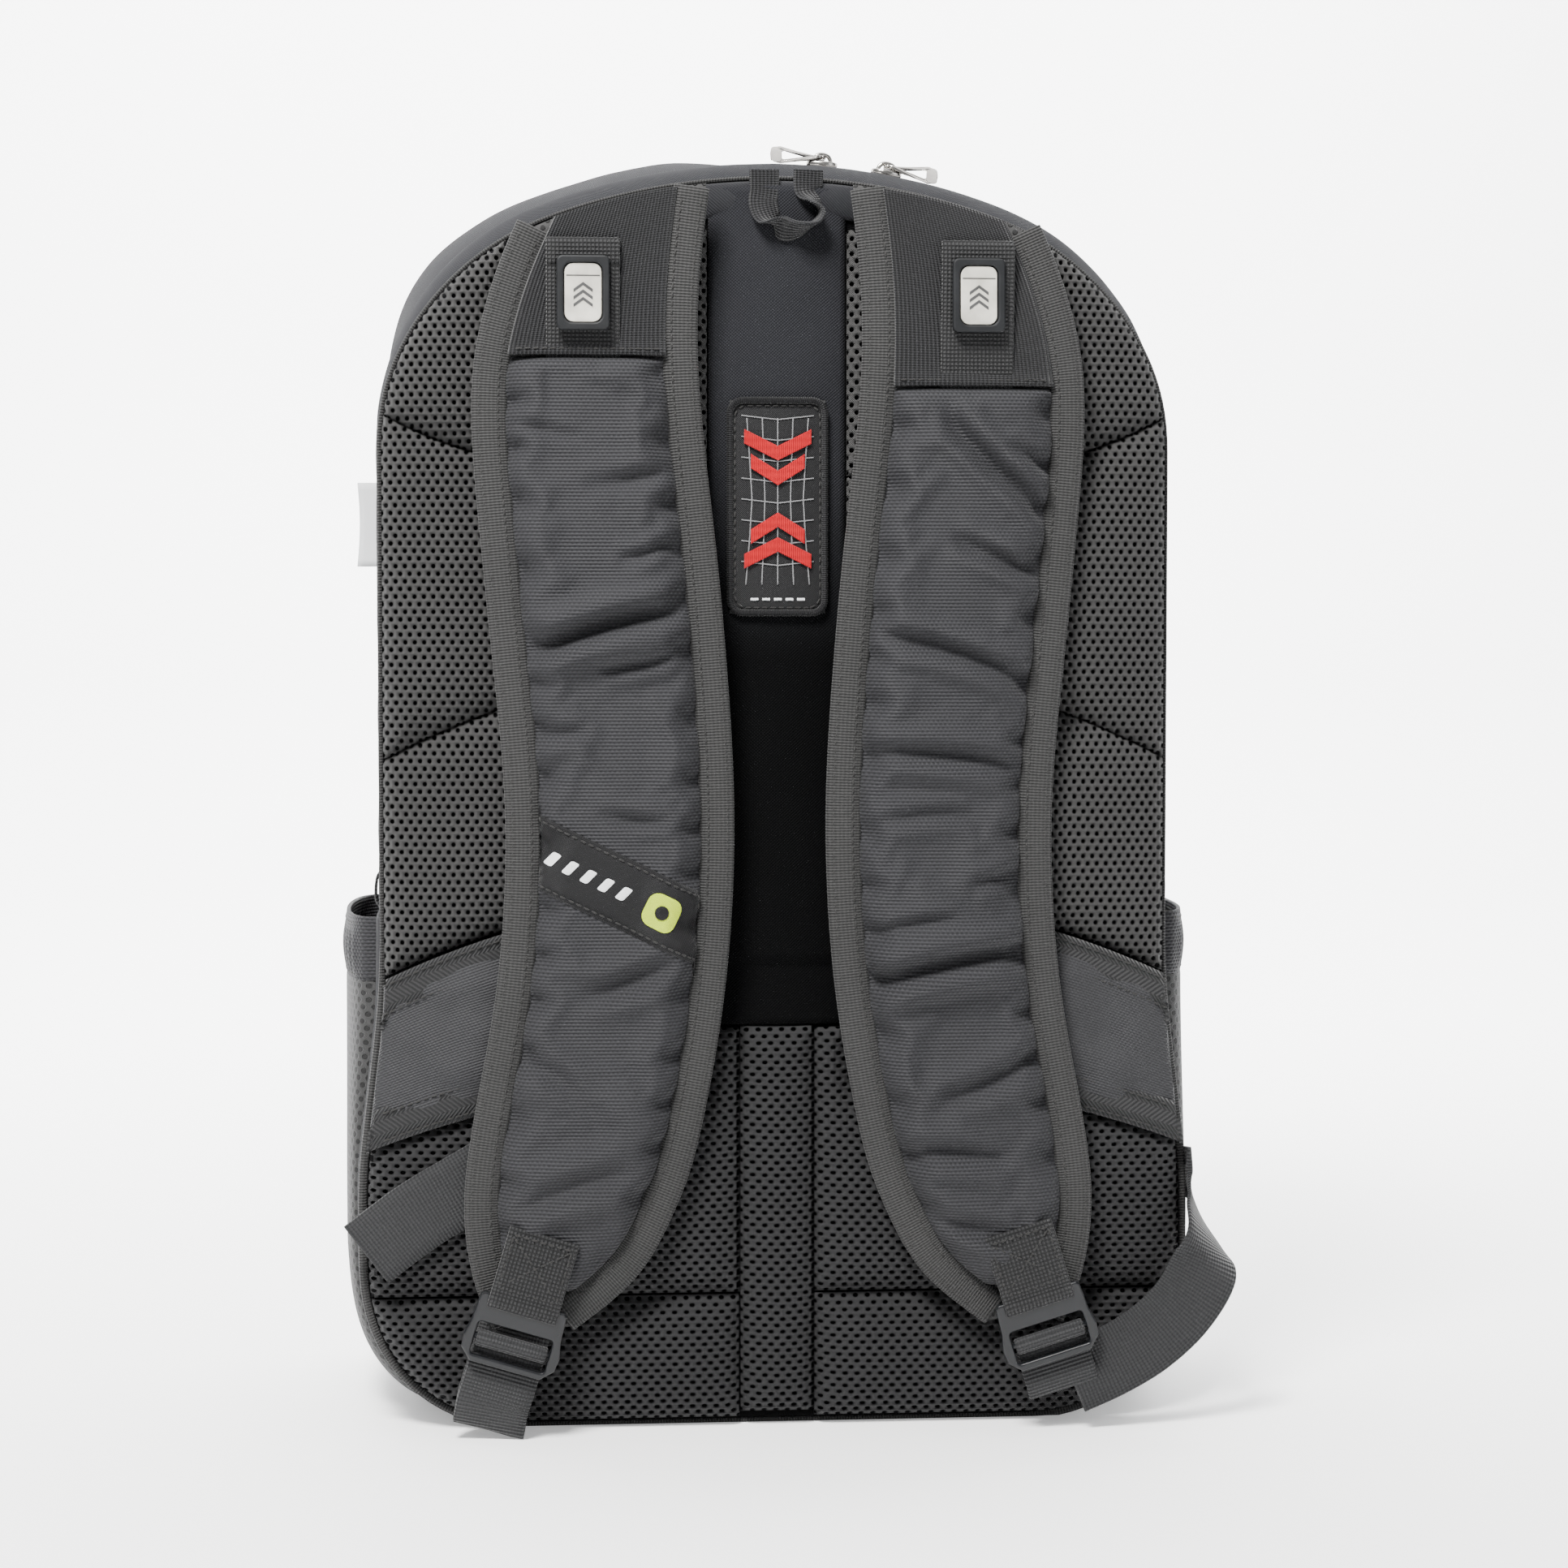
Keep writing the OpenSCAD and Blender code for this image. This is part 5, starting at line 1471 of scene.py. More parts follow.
for side, word in ((-1, "left"), (1, "right")):
    body = "strap_" + word
    yoke_low = YOKE_LOW[side]

    # Load tab: webbing sewn down at its foot, up to a fold, and down again behind.
    y0 = CUSHION_Y - 3.6
    stations = [((side * LOAD_X, y0 + 0.5, yoke_low - 1.0), (1, 0, 0)),
                ((side * LOAD_X, y0 - 0.9, yoke_low + 12), (1, 0, 0)),
                ((side * LOAD_X, y0 - 2.6, yoke_low + 34), (1, 0, 0)),
                ((side * LOAD_X, y0 - 3.4, LOAD_HIGH - 8), (1, 0, 0)),
                ((side * LOAD_X, y0 - 3.2, LOAD_HIGH - 1.5), (1, 0, 0)),
                ((side * LOAD_X, y0 - 1.6, LOAD_HIGH + 0.4), (1, 0, 0)),
                ((side * LOAD_X, y0 + 0.2, LOAD_HIGH - 1.5), (1, 0, 0)),
                ((side * LOAD_X, y0 + 0.9, LOAD_HIGH - 10), (1, 0, 0)),
                ((side * LOAD_X, y0 + 1.5, LOAD_HIGH - 24), (1, 0, 0))]
    ribbon("load_tab_web_" + word, stations, 28, CLOTHS["basket"], body, replaces=("load_tab_" + word,),
           slot="webbing")
    across = [(side * LOAD_X - 12.5, y0 - 0.6, yoke_low + 2.6),
              (side * LOAD_X + 12.5, y0 - 0.6, yoke_low + 2.6)]
    stitches("load_tab_stitch_" + word, across, body)

    # Badge: rubber frame and a plate with a groove and a plain mark of stacked chevrons.
    low = LOAD_HIGH - 34

    def badge_place(x, y, z, out=0.0):
        return (side * LOAD_X + x, y0 - 3.35 + (y - 14) * 0.035 - z - out, low + y)

    plate("badge_rim_" + word, rounded(20, 28, 2.2, 0, 14), [rounded(14.6, 22.6, 3.2, 0, 14)], 3.4, 0.7,
          SOLIDS["rubber"], body,
          lambda x, y, z: badge_place(x, y, z, 1.6), replaces=("badge_frame_" + word,), slot="rubber_trim")
    plate("badge_face_" + word, rounded(14, 22.2, 3.4, 0, 14), [], 1.6, 0.35, SOLIDS["badge"], body,
          lambda x, y, z: badge_place(x, y, z, 1.5), replaces=("badge_plate_" + word,), slot="badge_metal")
    plate("badge_line_" + word, [(-6.3, 20.2), (6.3, 20.2), (6.3, 20.6), (-6.3, 20.6)], [], 0.3, 0.05,
          SOLIDS["engraved"], body,
          lambda x, y, z: badge_place(x, y, z, 2.35))
    for k, h in enumerate((8.5, 11.3, 14.1)):
        mark = [(-3.6, h), (0, h + 2.6), (3.6, h), (3.6, h + 1.2), (0, h + 3.8), (-3.6, h + 1.2)]
        plate("badge_mark_%d_%s" % (k, word), mark, [], 0.3, 0.05, SOLIDS["engraved"], body,
              lambda x, y, z: badge_place(x, y, z, 2.35))

    # Anchor tab, buckle and the webbing round its middle bar.
    place = on_bar(side)
    loop = [(1.2, 28.5), (-0.2, 25), (-0.9, 12), (-1.3, 4), (-2.2, 0.8), (-1.8, -1.6), (0, -2.6),
            (1.8, -1.6), (2.1, 0.6), (1.1, 2.6)]
    stations = [(place(0, y - 0.9, z), (side * math.cos(LEAN), 0, math.sin(LEAN))) for y, z in loop]
    ribbon("anchor_web_" + word, stations, 27.5, CLOTHS["basket"], body, thick=1.5,
           replaces=("anchor_tab_" + word,), slot="webbing")
    for a, b in (((-11, 6), (11, 25)), ((-11, 25), (11, 6)), ((-11.5, 5), (11.5, 5)),
                 ((-11.5, 26), (11.5, 26)),
                 ((-11.5, 5), (-11.5, 26)), ((11.5, 5), (11.5, 26))):
        line = [place(a[0] + (b[0] - a[0]) * t, -2.6 + 0.022 * (a[1] + (b[1] - a[1]) * t - 4),
                      a[1] + (b[1] - a[1]) * t)
                for t in np.linspace(0, 1, 8)]
        stitches("anchor_stitch_%d_%d_%s" % (a[0] * 10 + 200, b[1] + a[1], word), line, body, radius=0.42)

    hinge = "buckle_" + word
    inner, arm, high = 14.8, 3.4, 25.0
    outline = [(-inner - arm + 1.2, 1.0), (-inner - arm + 2.4, 2.2), (inner + arm - 2.4, 2.2),
               (inner + arm - 1.2, 1.0),
               (inner + arm - 0.6, -9), (inner + arm + 0.8, -15.5), (inner + arm + 0.2, -20.5),
               (inner - 1.0, -25),
               (-inner + 1.0, -25), (-inner - arm - 0.2, -20.5), (-inner - arm - 0.8, -15.5),
               (-inner - arm + 0.6, -9)]
    slot_hole = rounded(2 * inner, 13.0, 1.5, 0, -15.7)
    plate("buckle_frame_" + word, outline, [slot_hole], 3.6, 0.8, SOLIDS["plastic"], hinge,
          lambda x, y, z: place(x, -z, y), replaces=("buckle_" + word,), slot="moulded_plastic")
    for kind, z, r in (("hinge", 0.0, 1.25), ("middle", -15.1, 1.3)):
        bar = [place(x, 0, z) for x in np.linspace(-inner - 1.2, inner + 1.2, 6)]
        tube("buckle_bar_%s_%s" % (kind, word), np.array(bar), r, SOLIDS["plastic"], hinge, sides=12)
    wrap = [(2.35, -22.2), (2.1, -19), (2.0, -15.1), (1.2, -13.4), (0, -12.9), (-1.5, -13.5),
            (-2.15, -15.2), (-1.6, -17.2), (0.6, -18.6)]
    stations = [(place(0, y, z), (side * math.cos(LEAN), 0, math.sin(LEAN))) for y, z in wrap]
    ribbon("buckle_web_" + word, stations, 27.6, CLOTHS["webbing"], hinge, thick=1.2,
           replaces=("webbing_wrap_" + word,), slot="webbing")

# Strap label on the left: black woven band with sewn borders and a plain lime block with dashes.
label_mid = np.array([-63.0, 212.0])
label_turn = math.radians(-26)
top_line = lambda x: 0 * x + YOKE_LOW[-1] - 0.5


def label_point(a, b, out):
    """A point of the label: a along it, b across it, out from the cushion's face."""
    x = label_mid[0] + a * math.cos(label_turn) - b * math.sin(label_turn)
    z = label_mid[1] + a * math.sin(label_turn) + b * math.cos(label_turn)
    ax = np.abs(x)
    zz = np.array([z], float)
    lo, hi = x_at(INNER_PAD, zz), x_at(OUTER_PAD, zz)
    s = (ax - lo) / (hi - lo)
    s = np.clip(s, 0.012, 0.988)
    ax = lo + s * (hi - lo)
    y, _ = cushion_face(ax, zz, s, -1, top_line)
    return (-float(ax[0]), float(y[0]) - out, z)


rows = [[label_point(a, b, 0.75 - 0.5 * (abs(b) > 12.6)) for a in np.linspace(-48, 48, 60)]
        for b in np.linspace(-13, 13, 15)]
sheet("strap_label_cloth", rows, CLOTHS["label"], "strap_left", replaces=("strap_label",),
      slot="woven_label", thick=0.6)
for b in (-11.2, 11.2):
    stitches("strap_label_stitch_%d" % (b + 20),
             [label_point(a, b, 1.0) for a in np.linspace(-42, 42, 60)], "strap_left", radius=0.42)


def label_mark(name, ring, material, out=1.0, inner=()):
    """A raised embroidered shape on the label, drawn along and across it."""
    ring = np.array(ring)
    middle = ring.mean(0)
    rows = [[label_point(*(middle + (p - middle) * k), out + 0.25 * (1 - k ** 4)) for p in ring]
            for k in (1, 0.8, 0.55, 0.3, 0.05)]
    count = len(ring)
    faces = grid_faces(5, count, False, True) + [tuple(4 * count + q for q in range(count))]
    return make(name, np.array(rows).reshape(-1, 3), faces, CLOTHS[material], "strap_left")


for k, a in enumerate((-27, -19.5, -12, -4.5, 3)):
    label_mark("label_dash_%d" % k, [(a + p + 0.35 * q, q) for p, q in rounded(3.4, 5.6, 0.8, 0, 0, 4)],
               "white_thread")
label_mark("label_block", rounded(13.5, 13.5, 4.2, 19, -0.2, 6), "lime_thread", 1.1)
label_mark("label_block_dot", rounded(5.4, 5.4, 2.6, 19, -0.2, 6), "label", 1.6)

# Patch on the channel: border, grid and plain red chevrons.
PATCH = corners("channel_patch")
patch_low, patch_high = PATCH[0][2], PATCH[1][2]
patch_w, patch_h = PATCH[1][0] - PATCH[0][0], patch_high - patch_low


def patch_y(x, z):
    """Depth of the patch, which bows with the channel."""
    return BACK_Y - 6.2 + 2.4 * (x / 24) ** 2


def patch_place(x, y, z, out=0.0):
    """A point of the patch: across, up from its foot, and out of it."""
    return (x, patch_y(x, y) - z - out, patch_low + y)


def patch_strip(name, line, width, material, out, thick=0.5):
    """A band of embroidery along a line of (x, height) points."""
    line = resample(line, 40)
    n = normals_2d(line, False)
    rows = []
    for k in np.linspace(-0.5, 0.5, 5):
        xz = line + n * (k * width)
        rows.append([(x, patch_y(x, z) - out - thick * (1 - (2 * k) ** 2), patch_low + z) for x, z in xz])
    return sheet(name, np.array(rows).transpose(1, 0, 2), CLOTHS[material], "pack_body", thick=0.4)


rows = [[patch_place(x, z, 0) for x in np.linspace(-patch_w / 2 + 1, patch_w / 2 - 1, 20)]
        for z in np.linspace(1, patch_h - 1, 30)]
sheet("patch_cloth", rows, CLOTHS["label"], "pack_body", replaces=("channel_patch",), slot="woven_label",
      thick=1.6)
border = np.array(rounded(patch_w - 2.4, patch_h - 2.4, 5, 0, patch_h / 2, 8))
loop_points = np.concatenate([border, border[:2]])
pts = np.array([patch_place(x, z, 0, 0.5) for x, z in resample(loop_points, 240)])
tube("patch_border", pts, 1.35, CLOTHS["black_thread"], "pack_body", sides=8, slot="woven_label")
pts = np.array([patch_place(x * 0.9, patch_h / 2 + (z - patch_h / 2) * 0.95, 0, 0.3) for x,
                z in resample(loop_points, 200)])
stitches("patch_stitch", pts, "pack_body")
for k, x in enumerate((-11, -5.5, 0, 5.5, 11)):
    bow = 1.0 + 0.18 * abs(x) / 11
    patch_strip("patch_grid_v%d" % k,
                [(x * 1.12, 12), (x * 0.98, 30), (x * 0.9, 45), (x * 0.98, 60), (x * 1.08, 76)], 0.55,
                "grid_thread", 0.35, 0.15)
for k, z in enumerate((20, 28, 36, 44, 52, 60, 68, 76)):
    patch_strip("patch_grid_h%d" % k, [(-14, z + 1), (0, z - 0.6), (14, z + 1)], 0.5, "grid_thread", 0.35,
                0.15)
for k, (z, w) in enumerate(((69, 1), (59.5, 0.8), (21, 1), (30.5, 0.8))):
    tip = -6.5 if k < 2 else 6.5
    thick = 2.8
    mark = [(-13 * w, z + thick), (0, z + tip + thick), (13 * w, z + thick), (13 * w, z - thick),
            (0, z + tip - thick), (-13 * w, z - thick)]
    plate("patch_chevron_%d" % k, mark[::-1], [], 0.9, 0.3, CLOTHS["red_thread"], "pack_body",
          lambda x, y, z: patch_place(x, y, 0, 1.0 + z))
for k, x in enumerate((-9, -4.5, 0, 4.5, 9)):
    patch_strip("patch_dash_%d" % k, [(x - 1.5, 6.4), (x + 1.5, 6.4)], 1.0, "white_thread", 0.45, 0.3)

# ---------------------------------------------------------------- loose webbing and the carry loop

LAY_Y = PAD_Y - 0.5 - WEBBING_T / 2
FOLD_Y = LAY_Y - WEBBING_T - 0.1
HANG_Y = BAR_Y + 2 + GAP + WEBBING_T / 2
ACROSS = (1, 0, 0.3)


def below_bar(d, lift=0.0):
    """A point of the webbing that hangs from a buckle, at a distance below its bar."""
    return (BUCKLE_X + d * math.sin(LEAN), HANG_Y + lift, BUCKLE_Z - d * math.cos(LEAN))


def turned(stations, side):
    """Stations of a webbing for the left or the right side."""
    return [((side * p[0], p[1], p[2]), (side * d[0], d[1], d[2])) for p, d in stations]


left_upper = [((HALF_TUB - 2, LAY_Y - 1.5, 71), (0.5, 0, 0.9)),
              ((HALF_TUB - 22, LAY_Y - 2.4, 86), (0.5, 0, 0.9)),
              ((HALF_TUB - 44, LAY_Y - 3.0, 99), (0.5, 0, 0.9)),
              ((HALF_TUB - 70, LAY_Y - 2.0, 114), (0.5, 0, 0.9))]
left_lower = [((88, FOLD_Y, 108), ACROSS), ((94, FOLD_Y, 74), ACROSS), ((102, FOLD_Y, 42), ACROSS),
              ((110, FOLD_Y - 1, 17), ACROSS),
              ((112, FOLD_Y - 4, 6), ACROSS), ((112.5, HANG_Y + 5, 5), ACROSS),
              (below_bar(41, 1), ACROSS), (below_bar(34), ACROSS),
              (below_bar(25), ACROSS)]
ribbon("webbing_left_upper", turned(left_upper, -1), 28, CLOTHS["webbing"], "pack_body",
       replaces=("webbing_left",), slot="webbing")
tail_left = ribbon("webbing_left_tail", turned(left_lower, -1), 28, CLOTHS["webbing"], None, slot="webbing")
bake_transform(tail_left)

right_loop = [((HALF_TUB + 1.2, BACK_Y + 6, 106), (0, 1, 0)), ((HALF_TUB + 2, BACK_Y + 4, 93), (0, 1, 0)),
              ((HALF_TUB + 5, BACK_Y - 2, 82), (0.25, 0.95, -0.2)),
              ((HALF_TUB + 7, PAD_Y - 3, 72), (0.6, 0.55, -0.5)),
              ((HALF_TUB + 5, PAD_Y - 9, 62), (0.77, 0, -0.64)),
              ((HALF_TUB - 4, PAD_Y - 12, 48), (0.6, 0, -0.8)),
              ((HALF_TUB - 17, PAD_Y - 13, 36), (0.3, 0, -0.95)),
              ((HALF_TUB - 32, PAD_Y - 13, 27), (0.4, 0, -0.9)),
              ((HALF_TUB - 48, PAD_Y - 13, 20), (0.5, 0, -0.86))]
ribbon("webbing_right_loop", right_loop, 28, CLOTHS["webbing"], "pack_body", replaces=("webbing_right",),
       slot="webbing")
ribbon("webbing_right_rise",
       [(below_bar(38, 2), ACROSS), (below_bar(32), ACROSS), (below_bar(25), ACROSS)], 28, CLOTHS["webbing"],
       "strap_right", slot="webbing")

loop_y = BACK_Y - 1.2 - GAP
stations = [((-6, loop_y - 2.6, 485), (1, 0, 0)), ((-6.5, loop_y - 4, 476), (1, 0, -0.1)),
            ((-4, loop_y - 6, 466), (0.9, 0.2, -0.4)),
            ((1, loop_y - 8, 460.5), (0.5, 0.4, -0.8)), ((8, loop_y - 9, 459.5), (0.1, 0.9, -0.4)),
            ((14.5, loop_y - 8, 463), (-0.3, 0.95, -0.1)),
            ((17.5, loop_y - 6, 470), (-0.1, 1, 0)), ((16, loop_y - 4.5, 478), (0.5, 0.8, 0.2)),
            ((13, loop_y - 2.6, 485), (1, 0.2, 0))]
stations = [((4 + (p[0] - 4) * 0.9, loop_y + (p[1] - loop_y) * 0.9, 479.5 + (p[2] - 485) * 0.62), d)
            for p, d in stations]
ends = [((stations[k][0][0], stations[k][0][1] + 0.3, 487.0), (1, 0, 0)) for k in (0, -1)]
carry_loop = ribbon("carry_loop_web", [ends[0], *stations, ends[1]], 11.5, CLOTHS["ribs"], None, thick=1.5,
                    replaces=("grab_loop",), slot="webbing")
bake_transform(carry_loop)

# ---------------------------------------------------------------- sliders, pulls, small parts

SLIDER_UP = 1.3


def on_arch(angle, centre_z, r, y, flip=1):
    """Points at a place along a zip's arch: x along it, y towards the front, z out of it."""
    a = math.radians(angle)

    def place(px, py, pz):
        px = px * flip
        return (px * math.cos(a) + (r + pz) * math.sin(a), y + py,
                centre_z - px * math.sin(a) + (r + pz) * math.cos(a))
    return place


def slider_parts(name, place, body, pull_body, nodes, roll_deg=52):
    """Zip slider: rounded top plate, flanged lower plate and the arch for its pull; then the pull itself."""
    top = [(-6, -2.2), (-4.6, -4.4), (0, -5.3), (4.2, -4.0), (6, -2.6), (6, 0.6), (4.2, 2.4), (0, 3.6),
           (-4.6, 2.8), (-6, 0.8)]
    piece = plate(name + "_top", top, [], 1.5, 0.5, SOLIDS["nickel"], body, lambda x, y,
                  z: place(x, y, SLIDER_UP + 0.9 + 1.3 * z),
                  replaces=(nodes[0],), slot="nickel", smooth=True)
    plate(name + "_lip", [(-5.5, -5.2), (5.0, -5.0), (5.0, -4.0), (-5.5, -4.2)], [], 2.0, 0.3,
          SOLIDS["nickel"], body,
          lambda x, y, z: place(x, y, 0.6 + z))
    ring = [(-3.6, 0.7), (-3.0, 2.9), (-1.4, 4.2), (1.4, 4.2), (3.0, 2.9), (3.6, 0.7)]
    arch_path = np.array([place(x, -0.4, SLIDER_UP + 0.6 + z) for x,
                          z in resample(spline_through(ring, 5), 18)])
    tube(name + "_bridge", arch_path, 0.85, SOLIDS["nickel"], body, sides=8)
    up = SLIDER_UP + 1.6 + 1.9
    pin = np.array([place(0, y, up) for y in np.linspace(-4.2, 4.2, 6)])
    tube(name + "_pin", pin, 0.75, SOLIDS["nickel"], pull_body, sides=10)
    roll = math.radians(roll_deg)

    def hang(x, y, z):
        ease = min(max((x - 2) / 6, 0), 1)
        a = roll * ease
        return place(x, y * math.cos(a) + z * math.sin(a), up + y * math.sin(a) + z * math.cos(a))

    outline = rounded(22, 9, 4.2, 9.6, 0, 8)
    hole = rounded(15.5, 5.4, 2.6, 9.0, 0, 8)
    plate(name + "_pull", outline, [hole], 1.5, 0.5, SOLIDS["nickel"], pull_body, hang,
          replaces=(nodes[1],), slot="nickel", smooth=True)
    grip = rounded(4.5, 7.6, 1.8, 18.2, 0, 6)
    plate(name + "_grip", grip, [], 2.3, 0.6, SOLIDS["nickel"], pull_body, hang, smooth=True)
    return piece


TOP_C = TOP_Z - TOP_R
slider_parts("slider_left_metal", on_arch(4.4, TOP_C, TOP_R, ZIP_Y, -1), "zip_slider_left",
             "zip_pull_left", ("slider_left", "pull_left"))
slider_parts("slider_right_metal", on_arch(10, TOP_C, TOP_R, ZIP_Y), "zip_slider_right", "zip_pull_right",
             ("slider_right", "pull_right"))

# Racket pocket on the front flap.
RACKET_TOP = TOP_Z - 14
RACKET_LOW = SPLIT_Z + 35
RACKET_R = 200
RIM_Y = corners("racket_zip")[1][1]
LID_Y = corners("racket_lid")
racket_side = [(98, RACKET_LOW + 2), *arch(100, RACKET_TOP, RACKET_R, 60)]
racket_half = resample([(0, RACKET_LOW), (94, RACKET_LOW), *racket_side], 260)
racket_half = smoothed(racket_half, 12)
ring = loop_of(resample(racket_half, 121))
ring_normal = normals_2d(ring, True)
rows = []
for y, out in ((FRONT_Y + 0.3, 0.2), (FRONT_Y + 1.5, 0.6), (FRONT_Y + 4, 0.8), (RIM_Y - 12.4, -0.2),
               (RIM_Y - 12.1, -1.2)):
    xz = ring + ring_normal * out
    rows.append(at_depth(xz, y))
sheet("racket_pocket_side", rows, CLOTHS["face"], "front_flap", closed_cols=True,
      replaces=("racket_gusset",), slot="black_nylon",
      thick=1.2)
piping_path = at_depth(ring, FRONT_Y + 1.2)
closed_tube("racket_pocket_piping", piping_path + at_depth(ring_normal, 0) * 1.0,
            (1.7, 1.7), CLOTHS["binding"], "front_flap")

path, normal = upper_arch(200, RACKET_LOW + 12, racket_half)
zip_pair("racket_zip", path, normal, ("front_flap", ("racket_zip",)), ("front_flap", ()), RIM_Y - 6,
         half=4.4)
middle = np.stack([np.zeros(len(ring)), RACKET_LOW + 100 + (ring[:, 1] - RACKET_LOW - 100) * 0.5], 1)
lid_low, lid_high = LID_Y[0][1], LID_Y[1][1]
lid_profile = [(lid_low + 0.2, -1.5), (lid_low + 0.6, 0.2), (lid_low + 2.0, 0.7), (lid_high - 0.6, -0.6),
               (lid_high + 0.2, -3.5),
               (lid_high + 1.2, -10)]
shell("racket_lid_cloth", ring, ring_normal, lid_profile, middle, 4.0, 14, CLOTHS["face"], "racket_cover",
      closed=True,
      relief=nudge(0.5), replaces=("racket_lid",), slot="black_nylon", thick=1.6, subdiv=1)
lid_line = ring + ring_normal * -6
pts = at_depth(lid_line, lid_high + 0.9)
stitches("racket_lid_stitch", pts, "racket_cover", out=(0, 1, 0))
racket_place = on_arch(12, RACKET_TOP - RACKET_R, RACKET_R, RIM_Y - 6)
slider_parts("racket_slider_metal", racket_place, "racket_zip_slider", "racket_zip_pull",
             ("racket_slider", "racket_pull"), 20)

# Front pocket.
POCKET = corners("front_pocket")
cx, cz = 0.0, (POCKET[0][2] + POCKET[1][2]) / 2
pw, ph = POCKET[1][0] - POCKET[0][0], POCKET[1][2] - POCKET[0][2]
ring = np.array(rounded(pw, ph, 22, cx, cz, 10))
ring = resample(np.concatenate([ring, ring[:1]]), 221)[:-1]
ring_normal = normals_2d(ring, True)
middle = np.stack([ring[:, 0] * 0.5, 0 * ring[:, 0] + cz], 1)
pocket_y = POCKET[1][1]
pocket_profile = [(FRONT_Y + 0.4, 0.4), (FRONT_Y + 3, 1.0), (FRONT_Y + 9, 1.0), (FRONT_Y + 14, -0.6),
                  (pocket_y - 2.2, -3.6), (pocket_y, -9)]
shell("front_pocket_cloth", ring, ring_normal, pocket_profile, middle, 0.0, 10, CLOTHS["face"],
      "pack_body", closed=True,
      replaces=("front_pocket",), slot="black_nylon", thick=1.6, subdiv=1)
closed_tube("front_pocket_piping",
            np.stack([ring[:, 0] + ring_normal[:, 0], np.full(len(ring), FRONT_Y + 1.4),
                                             ring[:, 1] + ring_normal[:, 1]], 1), (1.6, 1.6),
                                             CLOTHS["binding"], "pack_body")
ZIP_BOX = corners("front_pocket_zip")
zip_z = (ZIP_BOX[0][2] + ZIP_BOX[1][2]) / 2
zip_half = (ZIP_BOX[1][0] - ZIP_BOX[0][0]) / 2
for part, side in (("low", -1), ("high", 1)):
    line = np.array([(x, pocket_y + 0.4, zip_z + side * 0.3) for x in np.linspace(-zip_half, zip_half, 60)])
    coil("front_zip_coil_" + part, line, np.tile([0.0, 1, 0], (60, 1)), "pack_body", side=-side, width=2.7,
         replaces=("front_pocket_zip",) if side > 0 else ())
    tape_rows = [[(x, pocket_y + 0.5, zip_z + side * k)
                  for x in np.linspace(-zip_half - 3, zip_half + 3, 50)] for k in (0.4, 2, 4, 5.6)]
    sheet("front_zip_tape_" + part, tape_rows, CLOTHS["tape"], "pack_body", thick=0.7, slot="black_nylon")
    edge = [(x, pocket_y + 1.0, zip_z + side * 6.6) for x in np.linspace(-zip_half - 3, zip_half + 3, 40)]
    stitches("front_zip_stitch_" + part, edge, "pack_body", out=(0, 1, 0))
slider_x = np.mean(corners("front_slider"), axis=0)[0]
slider_y = corners("front_slider")[0][1]


def front_place(x, y, z):
    """Points of the front pocket's slider."""
    return (slider_x + x, slider_y + z - SLIDER_UP, zip_z - y)


slider_parts("pocket_slider_metal", front_place, "pocket_zip_slider", "pocket_zip_pull",
             ("front_slider", "front_pull"), 0)

# Side pockets: a mesh pouch with a gathered nylon hem.
SIDE = corners("side_pocket_right")
hem_low, hem_high = corners("pocket_hems")[0][2], corners("pocket_hems")[1][2]
pocket_half = SIDE[1][1]
pocket_reach = SIDE[1][0]


def pouch(side, z, a):
    """Point of a side pocket's sheet at a height, a from -1 at the back to 1 at the front."""
    y = pocket_half * math.sin(a * math.pi / 2) if abs(a) < 1 else pocket_half * a
    wall = float(HALF_AT(z, 0))
    full = pocket_reach - wall
    low = np.clip((z - SIDE[0][2]) / 60, 0, 1)
    out = wall + 1.2 + (full - 1.6) * (0.45 + 0.55 * low) * math.cos(a * math.pi / 2) ** 0.55
    return (side * out, y, z)


for side, word in ((-1, "left"), (1, "right")):
    rows = []
    for z in np.linspace(SIDE[0][2] + 1, hem_low + 1, 40):
        rows.append([pouch(side, z, a) for a in np.linspace(-1, 1, 44)])
    sheet("side_pocket_mesh_" + word, rows, CLOTHS["pocket_mesh"], "pack_body", flip=side > 0,
          replaces=("side_pocket_" + word,),
          slot="air_mesh", thick=1.3, subdiv=1)
    rows = []
    for z in np.linspace(hem_low, hem_high, 14):
        row = []
        for a in np.linspace(-1, 1, 120):
            x, y, zz = pouch(side, z, a)
            t = (z - hem_low) / (hem_high - hem_low)
            wave = 0.75 * math.sin(y * 0.9 + 1.2 * math.sin(y * 0.3))
            wave = wave * math.sin(math.pi * min(t * 1.2, 1)) * math.cos(a * math.pi / 2) ** 0.5
            row.append((x + side * (wave - 0.5 + 1.0 * math.sin(math.pi * t)), y, zz))
        rows.append(row)
    sheet("side_pocket_hem_" + word, rows, CLOTHS["face"], "pack_body", flip=side > 0, slot="black_nylon",
          thick=1.5,
          replaces=("pocket_hems",) if side > 0 else ())
    for z in (hem_low + 2, hem_high - 3):
        edge = [(p[0] + side * 1.3, p[1], p[2])
                for p in (pouch(side, z, a) for a in np.linspace(-0.9, 0.9, 60))]
        stitches("side_pocket_stitch_%s_%d" % (word, z), edge, "pack_body", out=(side, 0, 0))

